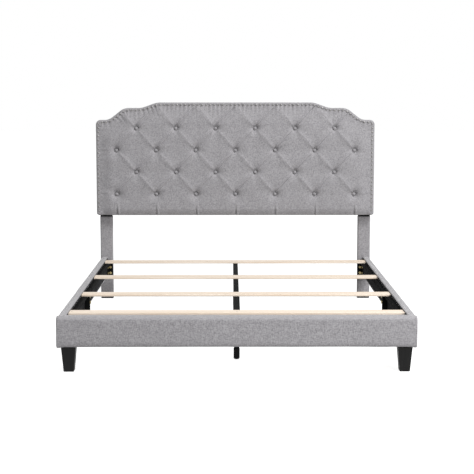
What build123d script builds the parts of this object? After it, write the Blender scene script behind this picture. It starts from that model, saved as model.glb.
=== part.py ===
import os
from math import atan2, ceil, degrees, hypot

from build123d import *

# Upholstered platform bed, in millimetres. X runs across the bed, Y from the foot to the head, Z up.
# The origin is on the floor under the middle of the bed. Left and right are as seen from the foot.

# The mattress and the frame around it
mattress_width = 1524
mattress_length = 2032
mattress_side_clearance = 4
mattress_end_clearance = 18
side_rail_thickness = 36
foot_rail_thickness = 40
front_leg_height = 117
foot_rail_height = 134
side_rail_height = 116

# Slats and the ledges under their ends
slat_width = 85
slat_thickness = 10
slat_drop = 8
slat_end_gap = 1
slat_edge_radius = 2
slat_place_shares = (0.08, 0.341, 0.63, 0.934)
ledge_width = 18
ledge_height = 22
ledge_end_gap = 6

# Rails: a timber core, a padded fabric cover and a black lining on the inner side
face_padding = 6
top_padding = 4
bottom_padding = 3
end_padding = 5
lining_thickness = 1
lining_inset = 6
rail_top_radius = 14
rail_edge_radius = 6
cover_end_radius = 3
rail_joint_share = 0.466
foot_corner_radius = 5

# Headboard: crown outline, tufted pad on a board, timber frame and dust cloth behind
headboard_overhang = 14
headboard_height = 664
headboard_clearance = 506
headboard_thickness = 70
shoulder_drop = 102
step_drop = 32
crown_place_shares = (0.906, 0.798, 0.671, 0.562)
bottom_corner_radius = 12
shoulder_corner_radius = 28
outer_slope_foot_radius = 78
outer_slope_head_radius = 84
inner_slope_radius = 112
side_wrap = 4
dust_cloth_thickness = 1
dust_cloth_inset = 2
batten_thickness = 20
board_thickness = 9
border_width = 25
border_step = 14
border_taper = 40
border_edge_radius = 8
bottom_roll_radius = 34

# Diamond tufting
tuft_counts = (6, 7, 6, 7)
tuft_pitch_share = 0.1424
tuft_row_pitch_share = 0.1943
tuft_top_share = 0.2274
crease_width = 84
crease_depth = 13
crease_rise = 88
dimple_radius = 32
dimple_seat_radius = 13
dimple_depth = 24
button_radius = 11
button_rim = 3
button_crown = 3
button_taper = 52
facet_count = 12

# Nail trim along the sides and the crown
nail_pitch = 24.6
nail_inset = 14
nail_radius = 5.6
nail_height = 3
nail_taper = 40
nail_facet_count = 8

# Posts behind the headboard
post_width = 74
post_depth = 40
post_overhang = 6
post_top = 930
post_cover_thickness = 3
post_cover_gap = 10
post_corner_radius = 5
post_glide_height = 5
post_glide_inset = 1
post_glide_corner_radius = 4

# Timber frame behind the headboard's board
upright_width = 68
upright_margin = 12
crossbar_height = 50

# Front legs and their corner blocks
leg_top_width = 66
leg_foot_width = 46
leg_inset = 22
leg_side_inset = 18
leg_edge_radius = 2
leg_foot_chamfer = 3
corner_block_width = 76
corner_block_depth = 82
corner_block_height = 34
hanger_bolt_radius = 4
hanger_bolt_reach = 26

# Steel brackets, plates and their bolts
plate_thickness = 3
bracket_flange = 45
bracket_end_flange = 32
bracket_bend_radius = 5
head_bracket_height = 75
foot_bracket_height = 50
bracket_drop = 2
bracket_bolt_share = 0.45
splice_length = 340
splice_height = 60
splice_bolt_shares = (-0.1, 0.1, 0.4)
bolt_radius = 4
bolt_head_width = 13
bolt_head_height = 5.3
bolt_hole_clearance = 0.3
rail_bolt_length = 24
post_bolt_shares = (0.15, 0.5, 0.85)
nut_flange_radius = 10
nut_flange_thickness = 1.5
nut_barrel_radius = 5.2

# Centre beam, a tube that slides into another
front_tube_width = 32
front_tube_wall = 2
rear_tube_wall = 1.5
tube_slip = 0.3
front_tube_length = 747
tube_overlap = 150
beam_end_gap = 0.5
beam_end_reach = 45
tube_corner_radius = 3
end_cap_thickness = 3
hanger_plate_width = 76
hanger_plate_height = 52
hanger_depth = 34

# Centre legs
centre_leg_shares = (0.132, 0.53, 0.88)
centre_leg_radius = 12.5
centre_leg_wall = 1.5
leg_plate_length = 66
leg_plate_width = 27
leg_plate_bolt_share = 0.36
small_bolt_radius = 3
small_bolt_head_width = 10
small_bolt_head_height = 4
small_bolt_length = 8

# Adjustable glides
glide_travel = 10
glide_gap = 1
glide_radius = 14.5
glide_dome_radius = 9
glide_floor = 15
glide_skirt_height = 52
glide_clearance = 0.3
glide_stem_radius = 4
insert_length = 24
side_glide_height = 9
side_glide_radius = 13

# Support legs at the joints of the side rails
side_leg_thickness = 22
side_leg_width = 30
side_leg_wall = 1.5
side_leg_corner_radius = 2
side_leg_place_share = 0.43
side_leg_top_gap = 4

# Wood screws
screw_radius = 2
screw_head_radius = 4.5
screw_head_height = 2.5
screw_length = 30
screw_end_inset = 9

# One overrun for every cut
overrun = 5

# Worked out from the sizes above
inner_width = mattress_width + mattress_side_clearance
inner_length = mattress_length + mattress_end_clearance
rail_inner = inner_width / 2
rail_outer = rail_inner + side_rail_thickness
bed_length = foot_rail_thickness + inner_length + post_depth
foot_face = -(bed_length + bolt_head_height) / 2
rail_start = foot_face + foot_rail_thickness
post_face = rail_start + inner_length
head_face = post_face + post_depth
rail_joint = rail_start + inner_length * rail_joint_share
rail_top = front_leg_height + foot_rail_height
side_rail_bottom = rail_top - side_rail_height
slat_top = rail_top - slat_drop
slat_bottom = slat_top - slat_thickness
ledge_bottom = slat_bottom - ledge_height
post_outer = rail_outer + post_overhang
post_inner = post_outer - post_width
post_centre = (post_outer + post_inner) / 2
half_width = post_outer + headboard_overhang
headboard_width = 2 * half_width
headboard_top = headboard_clearance + headboard_height
panel_back = post_face
dust_cloth_front = panel_back - dust_cloth_thickness
batten_front = dust_cloth_front - batten_thickness
board_front = batten_front - board_thickness
panel_front = panel_back - headboard_thickness
border_front = panel_front + border_step
tuft_seat = panel_front + dimple_depth
tuft_pitch = headboard_width * tuft_pitch_share
tuft_row_pitch = headboard_height * tuft_row_pitch_share
sides = {"left": -1, "right": 1}
halves = {"front": (rail_start, rail_joint), "rear": (rail_joint, post_face)}
slat_places = [rail_start + inner_length * share for share in slat_place_shares]


def save(piece, label):
    piece.part.label = label
    export_step(piece.part, f"parts/{label}.step")


def span(side, near, far):
    return tuple(sorted((side * near, side * far)))


def board(x_span, y_span, z_span, holes=(), rounded=None, radius=0):
    """A board between three spans, with one direction's edges rounded and holes (seats, radius, depth)."""
    with BuildPart() as piece:
        with BuildSketch(Plane.XY.offset(z_span[0])):
            with Locations((sum(x_span) / 2, sum(y_span) / 2)):
                Rectangle(x_span[1] - x_span[0], y_span[1] - y_span[0])
        extrude(amount=z_span[1] - z_span[0])
        if rounded:
            fillet(piece.edges().filter_by(rounded), radius)
        for seats, hole_radius, depth in holes:
            with Locations(*seats):
                Cylinder(hole_radius, depth, align=(Align.CENTER, Align.CENTER, Align.MAX), mode=Mode.SUBTRACT)
    return piece


def hex_bolts(seats, radius, length, head_width, head_height):
    """Hexagon-head bolts, one on each seat plane, with the shank behind the seat."""
    with BuildPart() as bolts:
        for seat in seats:
            with BuildSketch(seat):
                RegularPolygon(head_width / 2, 6, major_radius=False)
            extrude(amount=head_height)
            with BuildSketch(seat):
                Circle(radius)
            extrude(amount=-length)
    return bolts


def holes_for(seats, radius, depth):
    return (seats, radius + bolt_hole_clearance, depth)


def group(pieces):
    """Separate solids that share one node."""
    with BuildPart() as together:
        for piece in pieces:
            add(piece.part)
    return together


os.makedirs("parts", exist_ok=True)

# Seats of the bolts and screws, shared by the fasteners and the holes they pass through

bracket_top = ledge_bottom - bracket_drop
bracket_heights = {"front": foot_bracket_height, "head": head_bracket_height}
bracket_planes = {"front": (rail_start, 1), "head": (post_face, -1)}
bracket_seats = {}
for end, (plane_y, inward) in bracket_planes.items():
    middle = bracket_top - bracket_heights[end] / 2
    offset_z = bracket_heights[end] * bracket_bolt_share / 2
    rail_reach = (bracket_flange + plate_thickness) / 2
    end_reach = (bracket_end_flange + plate_thickness) / 2
    for name, side in sides.items():
        rail_seats = []
        end_seats = []
        for z in (middle - offset_z, middle + offset_z):
            rail_point = (side * (rail_inner - plate_thickness), plane_y + inward * rail_reach, z)
            end_point = (side * (rail_inner - end_reach), plane_y + inward * plate_thickness, z)
            rail_seats.append(Plane(rail_point, z_dir=(-side, 0, 0)))
            end_seats.append(Plane(end_point, z_dir=(0, inward, 0)))
        bracket_seats[end, name] = (rail_seats, end_seats)

splice_bottom = bracket_top - splice_height
splice_middle = (bracket_top + splice_bottom) / 2
side_leg_y = rail_joint - splice_length * side_leg_place_share
splice_seats = {}
side_leg_seats = {}
for name, side in sides.items():
    plate_face = side * (rail_inner - plate_thickness)
    leg_face = side * (rail_inner - plate_thickness - side_leg_thickness)
    splice_seats[name] = [
        Plane((plate_face, rail_joint + splice_length * share, splice_middle), z_dir=(-side, 0, 0))
        for share in splice_bolt_shares
    ]
    side_leg_seats[name] = [Plane((leg_face, side_leg_y, splice_middle), z_dir=(-side, 0, 0))]

hanger_places = span(1, front_tube_width / 2 + plate_thickness, hanger_plate_width / 2)
hanger_bolt_x = sum(hanger_places) / 2
hanger_seat_y = rail_start + plate_thickness
beam_centre = slat_bottom - front_tube_width / 2
hanger_seats = [Plane((side * hanger_bolt_x, hanger_seat_y, beam_centre), z_dir=(0, 1, 0)) for side in (-1, 1)]

block_top = front_leg_height + corner_block_height
leg_centre_x = rail_outer - leg_side_inset - leg_top_width / 2
leg_centre_y = foot_face + leg_inset + leg_top_width / 2
leg_bolt_seats = {name: [Plane((side * leg_centre_x, leg_centre_y, front_leg_height))] for name, side in sides.items()}

post_bolt_span = (headboard_clearance, post_top)
post_bolt_places = [post_bolt_span[0] + (post_bolt_span[1] - post_bolt_span[0]) * share for share in post_bolt_shares]
post_bolt_seats = {
    name: [Plane((side * post_centre, head_face, z), z_dir=(0, 1, 0)) for z in post_bolt_places]
    for name, side in sides.items()
}
all_post_bolt_seats = post_bolt_seats["left"] + post_bolt_seats["right"]
post_bolt_length = head_face - board_front - nut_flange_thickness

slat_screw_x = rail_inner - slat_end_gap - screw_end_inset
slat_screw_seats = [
    [Plane((x, y, slat_top)) for x in (-slat_screw_x, 0, slat_screw_x)] for y in slat_places
]
all_screw_seats = [seat for seats in slat_screw_seats for seat in seats]

# Foot rail: timber core, padded fabric cover that wraps it from the front, black lining behind

foot_core_x = (-rail_outer + end_padding, rail_outer - end_padding)
foot_core_y = (foot_face + face_padding, rail_start - lining_thickness)
foot_core_z = (front_leg_height + bottom_padding, rail_top - top_padding)
foot_bolt_seats = bracket_seats["front", "left"][1] + bracket_seats["front", "right"][1] + hanger_seats
foot_holes = holes_for(foot_bolt_seats, bolt_radius, rail_bolt_length + plate_thickness + lining_thickness)
save(board(foot_core_x, foot_core_y, foot_core_z, [foot_holes]), "foot_rail_core")

with BuildPart() as foot_rail_cover:
    with BuildSketch(Plane.YZ.offset(-rail_outer)):
        with Locations((foot_face, front_leg_height)):
            Rectangle(foot_core_y[1] - foot_face, foot_rail_height, align=Align.MIN)
    extrude(amount=2 * rail_outer)
    front_edges = foot_rail_cover.edges().filter_by(Axis.X).group_by(Axis.Y)[0]
    fillet(front_edges.sort_by(Axis.Z)[-1], rail_top_radius)
    long_edges = foot_rail_cover.edges().filter_by(Axis.X)
    fillet(long_edges.group_by(Axis.Z)[0].sort_by(Axis.Y)[0], rail_edge_radius)
    fillet(foot_rail_cover.faces().filter_by(Axis.X).edges(), foot_corner_radius)
    with BuildSketch(Plane.XY.offset(foot_core_z[0])):
        with Locations((0, foot_core_y[0])):
            Rectangle(foot_core_x[1] - foot_core_x[0], foot_core_y[1] - foot_core_y[0] + overrun,
                      align=(Align.CENTER, Align.MIN))
    extrude(amount=foot_core_z[1] - foot_core_z[0], mode=Mode.SUBTRACT)
save(foot_rail_cover, "foot_rail_cover")

foot_lining_x = (-rail_outer + lining_inset, rail_outer - lining_inset)
foot_lining_y = (rail_start - lining_thickness, rail_start)
foot_lining_z = (front_leg_height + lining_inset, rail_top - lining_inset)
save(board(foot_lining_x, foot_lining_y, foot_lining_z, [foot_holes]), "foot_rail_lining")

# Side rails: each is a front and a rear half that meet a little before the middle of its length

for name, side in sides.items():
    linings = []
    ledges = []
    for half, (start, end) in halves.items():
        rail_holes = []
        bracket_end = "front" if half == "front" else "head"
        rail_depth = rail_bolt_length + plate_thickness + lining_thickness
        rail_holes.append(holes_for(bracket_seats[bracket_end, name][0], bolt_radius, rail_depth))
        near_joint = [seat for seat in splice_seats[name] if start < seat.origin.Y < end]
        rail_holes.append(holes_for(near_joint, bolt_radius, rail_depth))
        if start < side_leg_y < end:
            rail_holes.append(holes_for(side_leg_seats[name], bolt_radius, rail_depth + side_leg_thickness))
        core_x = span(side, rail_inner + lining_thickness, rail_outer - face_padding)
        core_y = (start + cover_end_radius, end - cover_end_radius)
        core_z = (side_rail_bottom + bottom_padding, rail_top - top_padding)
        save(board(core_x, core_y, core_z, rail_holes), f"{name}_{half}_rail_core")

        with BuildPart() as rail_cover:
            with BuildSketch(Plane.XZ.offset(-start)):
                with Locations((side * (rail_inner + lining_thickness), side_rail_bottom)):
                    Rectangle(side_rail_thickness - lining_thickness, side_rail_height,
                              align=(Align.MIN if side > 0 else Align.MAX, Align.MIN))
            extrude(amount=start - end)
            outer_edges = rail_cover.edges().filter_by(Axis.Y).group_by(Axis.X)[-1 if side > 0 else 0]
            fillet(outer_edges.sort_by(Axis.Z)[-1], rail_top_radius)
            outer_edges = rail_cover.edges().filter_by(Axis.Y).group_by(Axis.X)[-1 if side > 0 else 0]
            fillet(outer_edges.sort_by(Axis.Z)[0], rail_edge_radius)
            fillet(rail_cover.faces().filter_by(Axis.Y).edges(), cover_end_radius)
            with BuildSketch(Plane.XY.offset(core_z[0])):
                with Locations((side * (rail_outer - face_padding), sum(core_y) / 2)):
                    Rectangle(side_rail_thickness - face_padding + overrun, core_y[1] - core_y[0],
                              align=(Align.MAX if side > 0 else Align.MIN, Align.CENTER))
            extrude(amount=core_z[1] - core_z[0], mode=Mode.SUBTRACT)
        save(rail_cover, f"{name}_{half}_rail_cover")

        lining_x = span(side, rail_inner, rail_inner + lining_thickness)
        lining_y = (start + lining_inset, end - lining_inset)
        lining_z = (side_rail_bottom + lining_inset, rail_top - lining_inset)
        linings.append(board(lining_x, lining_y, lining_z, rail_holes))

        ledge_x = span(side, rail_inner - ledge_width, rail_inner)
        ledge_y = (start + ledge_end_gap, end - ledge_end_gap)
        ledge_seats = [seat for seat in all_screw_seats if seat.origin.X * side > 0 and start < seat.origin.Y < end]
        ledge_holes = (ledge_seats, screw_radius, screw_length)
        ledges.append(board(ledge_x, ledge_y, (ledge_bottom, slat_bottom), [ledge_holes]))
    save(group(linings), f"{name}_rail_linings")
    save(group(ledges), f"{name}_slat_ledges")

# Slats: pine boards across the bed, screwed to the ledges and to the beam

for number, (y, seats) in enumerate(zip(slat_places, slat_screw_seats), start=1):
    slat_x = (-rail_inner + slat_end_gap, rail_inner - slat_end_gap)
    slat_y = (y - slat_width / 2, y + slat_width / 2)
    slat_holes = [(seats, screw_radius, slat_thickness + overrun)]
    slat_holes.append((seats, screw_head_radius, screw_head_height))
    slat = board(slat_x, slat_y, (slat_bottom, slat_top), slat_holes, Axis.X, slat_edge_radius)
    save(slat, f"slat_{number}")

with BuildPart() as slat_screws:
    with Locations(*all_screw_seats):
        Cylinder(screw_head_radius, screw_head_height, align=(Align.CENTER, Align.CENTER, Align.MAX))
        Cylinder(screw_radius, screw_length, align=(Align.CENTER, Align.CENTER, Align.MAX))
save(slat_screws, "slat_screws")

# Corner brackets: bent steel angles that hold each side rail to the foot rail and to its post

for end, (plane_y, inward) in bracket_planes.items():
    brackets = []
    for name, side in sides.items():
        corner = (side * rail_inner, plane_y)
        rail_tip = (side * rail_inner, plane_y + inward * bracket_flange)
        rail_tip_inside = (side * (rail_inner - plate_thickness), plane_y + inward * bracket_flange)
        inside = (side * (rail_inner - plate_thickness), plane_y + inward * plate_thickness)
        end_tip_inside = (side * (rail_inner - bracket_end_flange), plane_y + inward * plate_thickness)
        end_tip = (side * (rail_inner - bracket_end_flange), plane_y)
        bracket_holes = bracket_seats[end, name][0] + bracket_seats[end, name][1]
        with BuildPart() as corner_bracket:
            with BuildSketch(Plane.XY.offset(bracket_top - bracket_heights[end])) as outline:
                Polygon(corner, rail_tip, rail_tip_inside, inside, end_tip_inside, end_tip, align=None)
                bend = outline.vertices().sort_by_distance((*inside, 0))[0]
                fillet(bend, bracket_bend_radius - plate_thickness)
                bend = outline.vertices().sort_by_distance((*corner, 0))[0]
                fillet(bend, bracket_bend_radius)
            extrude(amount=bracket_heights[end])
            with Locations(*bracket_holes):
                Cylinder(bolt_radius + bolt_hole_clearance, plate_thickness * 2, mode=Mode.SUBTRACT)
        brackets.append(corner_bracket)
    save(group(brackets), f"{end}_corner_brackets")

# Splice plates and support legs at the joints of the side rails

side_leg_x = rail_inner - plate_thickness - side_leg_thickness / 2
leg_bottom = side_glide_height + glide_travel + glide_gap
leg_top = ledge_bottom - side_leg_top_gap
splice_plates = []
for name, side in sides.items():
    plate_x = span(side, rail_inner - plate_thickness, rail_inner)
    plate_y = (rail_joint - splice_length / 2, rail_joint + splice_length / 2)
    plate_holes = [holes_for(splice_seats[name], bolt_radius, plate_thickness + overrun)]
    plate_holes.append(holes_for(side_leg_seats[name], bolt_radius, side_leg_thickness + plate_thickness + overrun))
    splice_plates.append(board(plate_x, plate_y, (splice_bottom, bracket_top), plate_holes))

    with BuildPart() as side_leg:
        with BuildSketch(Plane.XY.offset(leg_bottom)):
            with Locations((side * side_leg_x, side_leg_y)):
                RectangleRounded(side_leg_thickness, side_leg_width, side_leg_corner_radius)
                Rectangle(side_leg_thickness - 2 * side_leg_wall, side_leg_width - 2 * side_leg_wall,
                          mode=Mode.SUBTRACT)
        extrude(amount=leg_top - leg_bottom)
        with Locations(*side_leg_seats[name]):
            Cylinder(bolt_radius + bolt_hole_clearance, side_leg_thickness * 3, mode=Mode.SUBTRACT)
    save(side_leg, f"{name}_side_leg")

    with BuildPart() as side_glide:
        with BuildSketch(Plane.XY):
            with Locations((side * side_leg_x, side_leg_y)):
                Circle(side_glide_radius)
        extrude(amount=side_glide_height)
        with BuildSketch(Plane.XY.offset(side_glide_height)):
            with Locations((side * side_leg_x, side_leg_y)):
                Circle(glide_stem_radius)
        extrude(amount=glide_travel + glide_gap + insert_length)
    save(side_glide, f"{name}_side_glide")

save(group(splice_plates), "splice_plates")

support_bolt_length = rail_bolt_length + side_leg_thickness
support_seats = side_leg_seats["left"] + side_leg_seats["right"]
side_leg_bolts = hex_bolts(support_seats, bolt_radius, support_bolt_length, bolt_head_width, bolt_head_height)
save(side_leg_bolts, "side_leg_bolts")

# Bolts of one size hold the corner brackets, the splice plates and the beam hanger to the rails and posts

rail_bolt_seats = [seat for rail_seats, end_seats in bracket_seats.values() for seat in rail_seats + end_seats]
rail_bolt_seats += splice_seats["left"] + splice_seats["right"] + hanger_seats
rail_bolts = hex_bolts(rail_bolt_seats, bolt_radius, rail_bolt_length, bolt_head_width, bolt_head_height)
save(rail_bolts, "rail_bolts")

# Front legs: tapered blocks on a hanger bolt, under a timber block in each front corner

corner_blocks = []
for name, side in sides.items():
    with BuildPart() as front_leg:
        with BuildSketch(Plane.XY):
            with Locations((side * leg_centre_x, leg_centre_y)):
                Rectangle(leg_foot_width, leg_foot_width)
        with BuildSketch(Plane.XY.offset(front_leg_height)):
            with Locations((side * leg_centre_x, leg_centre_y)):
                Rectangle(leg_top_width, leg_top_width)
        loft()
        chamfer(front_leg.faces().sort_by(Axis.Z)[0].edges(), leg_foot_chamfer)
        corners = front_leg.edges().filter_by(lambda edge: edge.length > leg_top_width)
        fillet(corners, leg_edge_radius)
        with Locations(*leg_bolt_seats[name]):
            Cylinder(hanger_bolt_radius + bolt_hole_clearance, hanger_bolt_reach,
                     align=(Align.CENTER, Align.CENTER, Align.MAX), mode=Mode.SUBTRACT)
    save(front_leg, f"front_{name}_leg")

    block_x = span(side, rail_inner - corner_block_width, rail_inner)
    block_y = (rail_start, rail_start + corner_block_depth)
    with BuildPart() as corner_block:
        with BuildSketch(Plane.XY.offset(front_leg_height)):
            with Locations((sum(block_x) / 2, sum(block_y) / 2)):
                Rectangle(corner_block_width, corner_block_depth)
        extrude(amount=corner_block_height)
        with Locations(*leg_bolt_seats[name]):
            Cylinder(hanger_bolt_radius + bolt_hole_clearance, corner_block_height,
                     align=(Align.CENTER, Align.CENTER, Align.MIN), mode=Mode.SUBTRACT)
    corner_blocks.append(corner_block)
save(group(corner_blocks), "front_corner_blocks")

with BuildPart() as leg_hanger_bolts:
    for seats in leg_bolt_seats.values():
        with Locations(*seats):
            Cylinder(hanger_bolt_radius, hanger_bolt_reach, align=(Align.CENTER, Align.CENTER, Align.MAX))
            Cylinder(hanger_bolt_radius, corner_block_height, align=(Align.CENTER, Align.CENTER, Align.MIN))
save(leg_hanger_bolts, "leg_hanger_bolts")

# Centre beam: the rear tube slides into the front tube, which rests in a steel hanger on the foot rail

rear_tube_width = front_tube_width - 2 * (front_tube_wall + tube_slip)
front_tube_start = rail_start + plate_thickness + beam_end_gap
front_tube_end = front_tube_start + front_tube_length
rear_tube_start = front_tube_end - tube_overlap
rear_tube_end = slat_places[-1] + beam_end_reach
leg_places = [rail_start + inner_length * share for share in centre_leg_shares]
beam_screw_seats = [seats[1] for seats in slat_screw_seats]
leg_bolt_offset = leg_plate_length * leg_plate_bolt_share
tubes = {
    "beam_front_tube": (front_tube_width, front_tube_wall, front_tube_start, front_tube_end, leg_places[:1]),
    "beam_rear_tube": (rear_tube_width, rear_tube_wall, rear_tube_start, rear_tube_end, leg_places[1:]),
}
centre_leg_bolt_seats = []
for label, (width, wall, start, end, places) in tubes.items():
    tube_bottom = beam_centre - width / 2
    plate_bottom = tube_bottom - plate_thickness
    tube_seats = [
        Plane((0, y + offset_y, plate_bottom), z_dir=(0, 0, -1))
        for y in places
        for offset_y in (-leg_bolt_offset, leg_bolt_offset)
    ]
    centre_leg_bolt_seats += tube_seats
    with BuildPart() as tube:
        with BuildSketch(Plane.XZ.offset(-start)):
            with Locations((0, beam_centre)):
                RectangleRounded(width, width, tube_corner_radius - (front_tube_width - width) / 4)
                Rectangle(width - 2 * wall, width - 2 * wall, mode=Mode.SUBTRACT)
        extrude(amount=start - end)
        with Locations(*tube_seats):
            Cylinder(small_bolt_radius + bolt_hole_clearance, small_bolt_length + overrun,
                     align=(Align.CENTER, Align.CENTER, Align.MAX), mode=Mode.SUBTRACT)
        with Locations(*beam_screw_seats):
            Cylinder(screw_radius, screw_length, align=(Align.CENTER, Align.CENTER, Align.MAX), mode=Mode.SUBTRACT)
    save(tube, label)

    for place in places:
        number = leg_places.index(place)
        place_name = ("front", "middle", "rear")[number]
        tube_start = glide_floor + glide_travel + glide_gap
        with BuildPart() as centre_leg:
            with BuildSketch(Plane.XY.offset(plate_bottom)):
                with Locations((0, place)):
                    Rectangle(leg_plate_width, leg_plate_length)
            extrude(amount=plate_thickness)
            with BuildSketch(Plane.XY.offset(tube_start)):
                with Locations((0, place)):
                    Circle(centre_leg_radius)
                    Circle(centre_leg_radius - centre_leg_wall, mode=Mode.SUBTRACT)
            extrude(amount=plate_bottom - tube_start)
            with Locations(*tube_seats):
                Cylinder(small_bolt_radius + bolt_hole_clearance, plate_thickness * 2, mode=Mode.SUBTRACT)
        save(centre_leg, f"{place_name}_centre_leg")

        with BuildPart() as centre_glide:
            with BuildSketch(Plane.XZ.offset(-place)):
                skirt_inner = centre_leg_radius + glide_clearance
                with BuildLine():
                    Polyline((0, 0), (glide_radius, 0), (glide_radius, glide_skirt_height),
                             (skirt_inner, glide_skirt_height), (skirt_inner, glide_floor),
                             (glide_stem_radius, glide_floor), (glide_stem_radius, tube_start + insert_length),
                             (0, tube_start + insert_length), close=True)
                outline = make_face()
                fillet(outline.vertices().filter_by_position(Axis.Y, 0, 0).sort_by(Axis.X)[-1], glide_dome_radius)
            revolve(axis=Axis((0, place, 0), (0, 0, 1)))
        save(centre_glide, f"{place_name}_centre_glide")

# Threaded inserts in the ends of the centre and side legs carry the stems of the glides

with BuildPart() as leg_inserts:
    with BuildSketch(Plane.XY.offset(tube_start)):
        with Locations(*[(0, place) for place in leg_places]):
            Circle(centre_leg_radius - centre_leg_wall)
            Circle(glide_stem_radius + glide_clearance, mode=Mode.SUBTRACT)
    extrude(amount=insert_length)
    with BuildSketch(Plane.XY.offset(leg_bottom)):
        with Locations((-side_leg_x, side_leg_y), (side_leg_x, side_leg_y)):
            Rectangle(side_leg_thickness - 2 * side_leg_wall, side_leg_width - 2 * side_leg_wall)
            Circle(glide_stem_radius + glide_clearance, mode=Mode.SUBTRACT)
    extrude(amount=insert_length)
save(leg_inserts, "leg_inserts")

centre_leg_bolts = hex_bolts(centre_leg_bolt_seats, small_bolt_radius, small_bolt_length + plate_thickness,
                             small_bolt_head_width, small_bolt_head_height)
save(centre_leg_bolts, "centre_leg_bolts")

with BuildPart() as beam_end_cap:
    with BuildSketch(Plane.XZ.offset(-rear_tube_end)):
        with Locations((0, beam_centre)):
            RectangleRounded(rear_tube_width, rear_tube_width, tube_corner_radius / 2)
    extrude(amount=-end_cap_thickness)
save(beam_end_cap, "beam_end_cap")

hanger_inner = front_tube_width / 2 + tube_slip
beam_bottom = beam_centre - front_tube_width / 2
with BuildPart() as beam_hanger:
    with BuildSketch(Plane.XZ.offset(-rail_start)):
        with Locations((0, beam_centre)):
            Rectangle(hanger_plate_width, hanger_plate_height)
    extrude(amount=-plate_thickness)
    with BuildSketch(Plane.XZ.offset(-rail_start)):
        with Locations((0, beam_bottom - plate_thickness)):
            Rectangle(2 * (hanger_inner + plate_thickness), front_tube_width, align=(Align.CENTER, Align.MIN))
        with Locations((0, beam_bottom)):
            Rectangle(2 * hanger_inner, front_tube_width, align=(Align.CENTER, Align.MIN), mode=Mode.SUBTRACT)
    extrude(amount=-hanger_depth)
    with Locations(*hanger_seats):
        Cylinder(bolt_radius + bolt_hole_clearance, plate_thickness * 2, mode=Mode.SUBTRACT)
save(beam_hanger, "beam_hanger")

# Posts: timber cores in fabric sleeves up to the headboard and in black cloth behind it, on plastic feet

post_core_width = post_width - 2 * post_cover_thickness
post_core_depth = post_depth - 2 * post_cover_thickness
post_core_top = post_top - post_cover_thickness
post_cover_top = headboard_clearance - post_cover_gap


def post_sleeve(side, bottom, top, core_top, holes):
    """A sleeve round a post's core between two heights, closed above the core's top."""
    with BuildPart() as sleeve:
        with BuildSketch(Plane.XY.offset(bottom)):
            with Locations((side * post_centre, (post_face + head_face) / 2)):
                RectangleRounded(post_width, post_depth, post_corner_radius)
        extrude(amount=top - bottom)
        with BuildSketch(Plane.XY.offset(bottom)):
            with Locations((side * post_centre, (post_face + head_face) / 2)):
                Rectangle(post_core_width, post_core_depth)
        extrude(amount=core_top - bottom, mode=Mode.SUBTRACT)
        for seats, radius, depth in holes:
            with Locations(*seats):
                Cylinder(radius, depth, align=(Align.CENTER, Align.CENTER, Align.MAX), mode=Mode.SUBTRACT)
    return sleeve


post_linings = []
for name, side in sides.items():
    panel_holes = [holes_for(post_bolt_seats[name], bolt_radius, post_bolt_length)]
    rail_holes = [holes_for(bracket_seats["head", name][1], bolt_radius, rail_bolt_length + plate_thickness)]
    core_x = span(side, post_centre - post_core_width / 2, post_centre + post_core_width / 2)
    core_y = (post_face + post_cover_thickness, head_face - post_cover_thickness)
    post_core = board(core_x, core_y, (post_glide_height, post_core_top), panel_holes + rail_holes)
    save(post_core, f"{name}_post_core")
    post_cover = post_sleeve(side, post_glide_height, post_cover_top, post_cover_top, rail_holes)
    save(post_cover, f"{name}_post_cover")
    post_linings.append(post_sleeve(side, post_cover_top, post_top, post_core_top, panel_holes))
save(group(post_linings), "post_linings")

with BuildPart() as post_glides:
    with BuildSketch(Plane.XY):
        for side in sides.values():
            with Locations((side * post_centre, (post_face + head_face) / 2)):
                RectangleRounded(post_width - 2 * post_glide_inset, post_depth - 2 * post_glide_inset,
                                 post_glide_corner_radius)
    extrude(amount=post_glide_height)
save(post_glides, "post_glides")

post_bolts = hex_bolts(all_post_bolt_seats, bolt_radius, post_bolt_length, bolt_head_width, bolt_head_height)
save(post_bolts, "post_bolts")

# Crown outline of the headboard, from the lower left corner round to the lower right one

shoulder_z = headboard_top - shoulder_drop
step_z = headboard_top - step_drop
outer_slope_foot, outer_slope_head, inner_slope_foot, inner_slope_head = [
    half_width * share for share in crown_place_shares
]
half_outline = [
    (half_width, headboard_clearance, bottom_corner_radius),
    (half_width, shoulder_z, shoulder_corner_radius),
    (outer_slope_foot, shoulder_z, outer_slope_foot_radius),
    (outer_slope_head, step_z, outer_slope_head_radius),
    (inner_slope_foot, step_z, inner_slope_radius),
    (inner_slope_head, headboard_top, inner_slope_radius),
]
crown_points = [(x, z) for x, z, corner in half_outline] + [(-x, z) for x, z, corner in reversed(half_outline)]
crown_radii = [corner for x, z, corner in half_outline] + [corner for x, z, corner in reversed(half_outline)]
with BuildLine() as crown_line:
    FilletPolyline(*crown_points, radius=crown_radii, close=True)


def crown_plate(inset, back, front, holes=()):
    """A plate with the crown outline, inset all round."""
    with BuildPart() as plate:
        with BuildSketch(Plane.XZ.offset(-back)):
            make_face(crown_line.edges())
            offset(amount=-inset)
        extrude(amount=back - front)
        for seats, radius, depth in holes:
            with Locations(*seats):
                Cylinder(radius, depth, align=(Align.CENTER, Align.CENTER, Align.MAX), mode=Mode.SUBTRACT)
    return plate


nut_seats = [Plane((seat.origin.X, board_front, seat.origin.Z), z_dir=(0, -1, 0)) for seat in all_post_bolt_seats]
through_post = head_face - board_front + overrun
board_holes = [(all_post_bolt_seats, nut_barrel_radius, through_post)]
board_holes.append((nut_seats, nut_flange_radius, nut_flange_thickness))
save(crown_plate(side_wrap, batten_front, board_front, board_holes), "headboard_board")

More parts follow.
